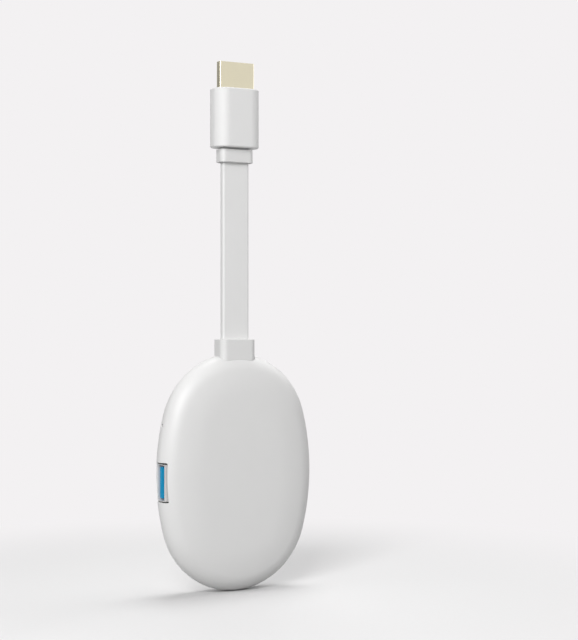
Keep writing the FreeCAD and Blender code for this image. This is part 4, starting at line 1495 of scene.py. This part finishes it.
@dataclass
class PhotoCamera:
    """A level camera at the photograph's viewing angle."""

    image_long_side: int = 640
    focal_pixels: float = 1500.0
    sensor: float = 36.0
    yaw: float = math.radians(28.75)
    distance: float = 547.4 * MM
    shift: float = 19.9 * MM
    height: float = -84.0 * MM
    clip: Point2 = (0.01, 50.0)

    def build(self) -> bpy.types.Object:
        """Make the camera and let the scene look through it.

        Returns:
            The camera.
        """
        lens = bpy.data.cameras.new("photo_camera")
        lens.sensor_width = self.sensor
        lens.lens = self.focal_pixels * self.sensor / self.image_long_side
        lens.clip_start, lens.clip_end = self.clip
        camera = link(bpy.data.objects.new("photo_camera", lens))
        ahead = Vector((math.sin(self.yaw), math.cos(self.yaw), 0))
        right = Vector((math.cos(self.yaw), -math.sin(self.yaw), 0))
        camera.location = right * self.shift - ahead * self.distance
        camera.location.z = self.height
        camera.rotation_euler = (math.pi / 2, 0.0, -self.yaw)
        bpy.context.scene.camera = camera
        return camera


@dataclass
class Lamp:
    """A soft square lamp that points at a place."""

    name: str
    place: Point3
    aim: Point3
    size: float
    watts: float
    tall: float = 0.0
    mirrored: bool = True

    def build(self) -> bpy.types.Object:
        """Make the lamp.

        Returns:
            The lamp.
        """
        light = bpy.data.lights.new(self.name, "AREA")
        light.energy = self.watts
        light.size = self.size
        if self.tall:
            light.shape = "RECTANGLE"
            light.size_y = self.tall
        lamp = link(bpy.data.objects.new(self.name, light))
        lamp.location = self.place
        lamp.visible_camera = False
        lamp.visible_glossy = self.mirrored
        direction = Vector(self.aim) - Vector(self.place)
        lamp.rotation_euler = direction.to_track_quat("-Z", "Y").to_euler()
        return lamp


@dataclass
class Studio:
    """Pale floor, white backdrop and soft lamps."""

    floor_z: float = -182.5 * MM
    backdrop: Colour = (0.8963, 0.8796, 0.8879, 1.0)
    air: Colour = (1.0, 0.995, 0.99, 1.0)
    ambient: float = 0.265
    floor_seen: float = 0.795
    floor_bounce: float = 0.42
    floor_reach: float = 6.0
    floor_white: Colour = (1.0, 0.995, 0.998, 1.0)
    tooth: Point2 = (1.2 * MM, 0.03)
    fade: Point2 = (0.15, 0.12)
    paper_roughness: float = 0.9
    card_grain: float = 2 * MM
    card_shades: tuple[Colour, Colour] = ((0.22, 0.22, 0.22, 1.0), (0.26, 0.26, 0.26, 1.0))
    flag_sides: tuple[Point2, Point2] = ((-0.26, 0.16), (-0.10, 0.42))
    flag_heights: Point2 = (-0.17, 0.08)
    lamps: tuple[Lamp, ...] = (
        Lamp("key_left", (-0.50, -0.54, 0.25), (0.0, 0.0, -0.08), size=0.36, watts=5.1,
             tall=0.55),
        Lamp("overhead", (0.20, 0.185, 1.10), (0.0, 0.0, -0.18), size=0.57, watts=6.6),
        Lamp("side_right", (0.26, 0.03, 0.10), (0.0, 0.0, 0.0), size=0.18, watts=0.18),
        Lamp("back_right", (0.36, 0.66, 0.10), (0.0, 0.0, -0.08), size=0.50, watts=1.2,
             mirrored=False),
    )

    def _world(self) -> None:
        """Light from all round, with the backdrop's colour for the camera, gloss and glass."""
        world = bpy.data.worlds.new("studio_air")
        bpy.context.scene.world = world
        tree = NodeTree(world, "ShaderNodeOutputWorld")
        around = tree.add("ShaderNodeBackground", {},
                          {"Color": self.air, "Strength": self.ambient})
        backdrop = tree.add("ShaderNodeBackground", {}, {"Color": self.backdrop})
        tree.show(tree.mix(tree.seen(), around, backdrop))

    @staticmethod
    def _sheet(name: str, corners: Sequence[Vector], tree: MaterialTree) -> bpy.types.Object:
        """A flat sheet of the studio.

        Args:
            name: The sheet's name.
            corners: Its corners, anticlockwise from above or in front.
            tree: The node tree of its material.

        Returns:
            The sheet.
        """
        mesh = bpy.data.meshes.new(name)
        mesh.from_pydata(corners, [], [range(len(corners))])
        mesh.materials.append(tree.material)
        sheet = link(bpy.data.objects.new(name, mesh))
        return sheet

    def _floor(self) -> None:
        """A wide floor that fades into the backdrop away from the object."""
        tree = MaterialTree("floor_paper")
        away = tree.number("ShaderNodeVectorMath", {"operation": "LENGTH"},
                           {0: tree.place((1.0, 1.0, 0.0))}, "Value")
        size, width = self.tooth
        tooth = tree.around(self.floor_seen, (tree.noise(size, detail=2.0), width))
        tree.surface(Base_Color=tree.blend(tooth, (0.0, 0.0, 0.0, 1.0), self.floor_white),
                     Roughness=self.paper_roughness, Specular_IOR_Level=0.0)
        far = tree.add("ShaderNodeEmission", {}, {"Color": self.backdrop})
        near = tree.mix(away.above(*self.fade), tree.shader, far)
        bounce = tree.add("ShaderNodeBsdfDiffuse", {},
                          {"Color": (*[self.floor_bounce] * 3, 1.0)})
        tree.show(tree.mix(tree.seen(), bounce, near))
        sides = ((-1, -1), (1, -1), (1, 1), (-1, 1))
        self._sheet("studio_floor", [Vector((x * self.floor_reach, y * self.floor_reach,
                                             self.floor_z)) for x, y in sides], tree)

    def _flag(self) -> None:
        """A grey card behind the left side, which only gloss and soft light meet."""
        near, far = self.flag_sides
        low, high = self.flag_heights
        corners = [Vector((*side, height))
                   for side, height in ((near, low), (far, low), (far, high), (near, high))]
        tree = MaterialTree("grey_card")
        tree.surface(Base_Color=tree.blend(tree.noise(self.card_grain), *self.card_shades),
                     Roughness=self.paper_roughness)
        card = self._sheet("grey_flag", corners, tree)
        card.visible_camera = card.visible_shadow = False

    def build(self) -> None:
        """Make the world, the floor, the card and the lamps."""
        bpy.context.scene.view_settings.view_transform = "Standard"
        self._world()
        self._floor()
        self._flag()
        for lamp in self.lamps:
            lamp.build()


def main() -> None:
    """Build the dongle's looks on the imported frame."""
    logging.basicConfig(level=logging.INFO, format="%(name)s: %(message)s")
    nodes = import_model()["nodes"]
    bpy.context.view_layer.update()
    PhotoCamera().build()
    flat_cable = FlatCable()
    cable = flat_cable.build()
    LOG.info("cable: %s, %d places on its route", cable.name, len(flat_cable.route))
    Dressing().apply(nodes)
    plug = PlugEnd().build()
    LOG.info("plug: %s", ", ".join(piece.name for piece in plug))
    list(plug)
    collar = Collar().build()
    covers = Housing().build()
    LOG.info("puck: %s", ", ".join(piece.name for piece in [collar, *covers]))
    Studio().build()


if __name__ == "__main__":
    main()
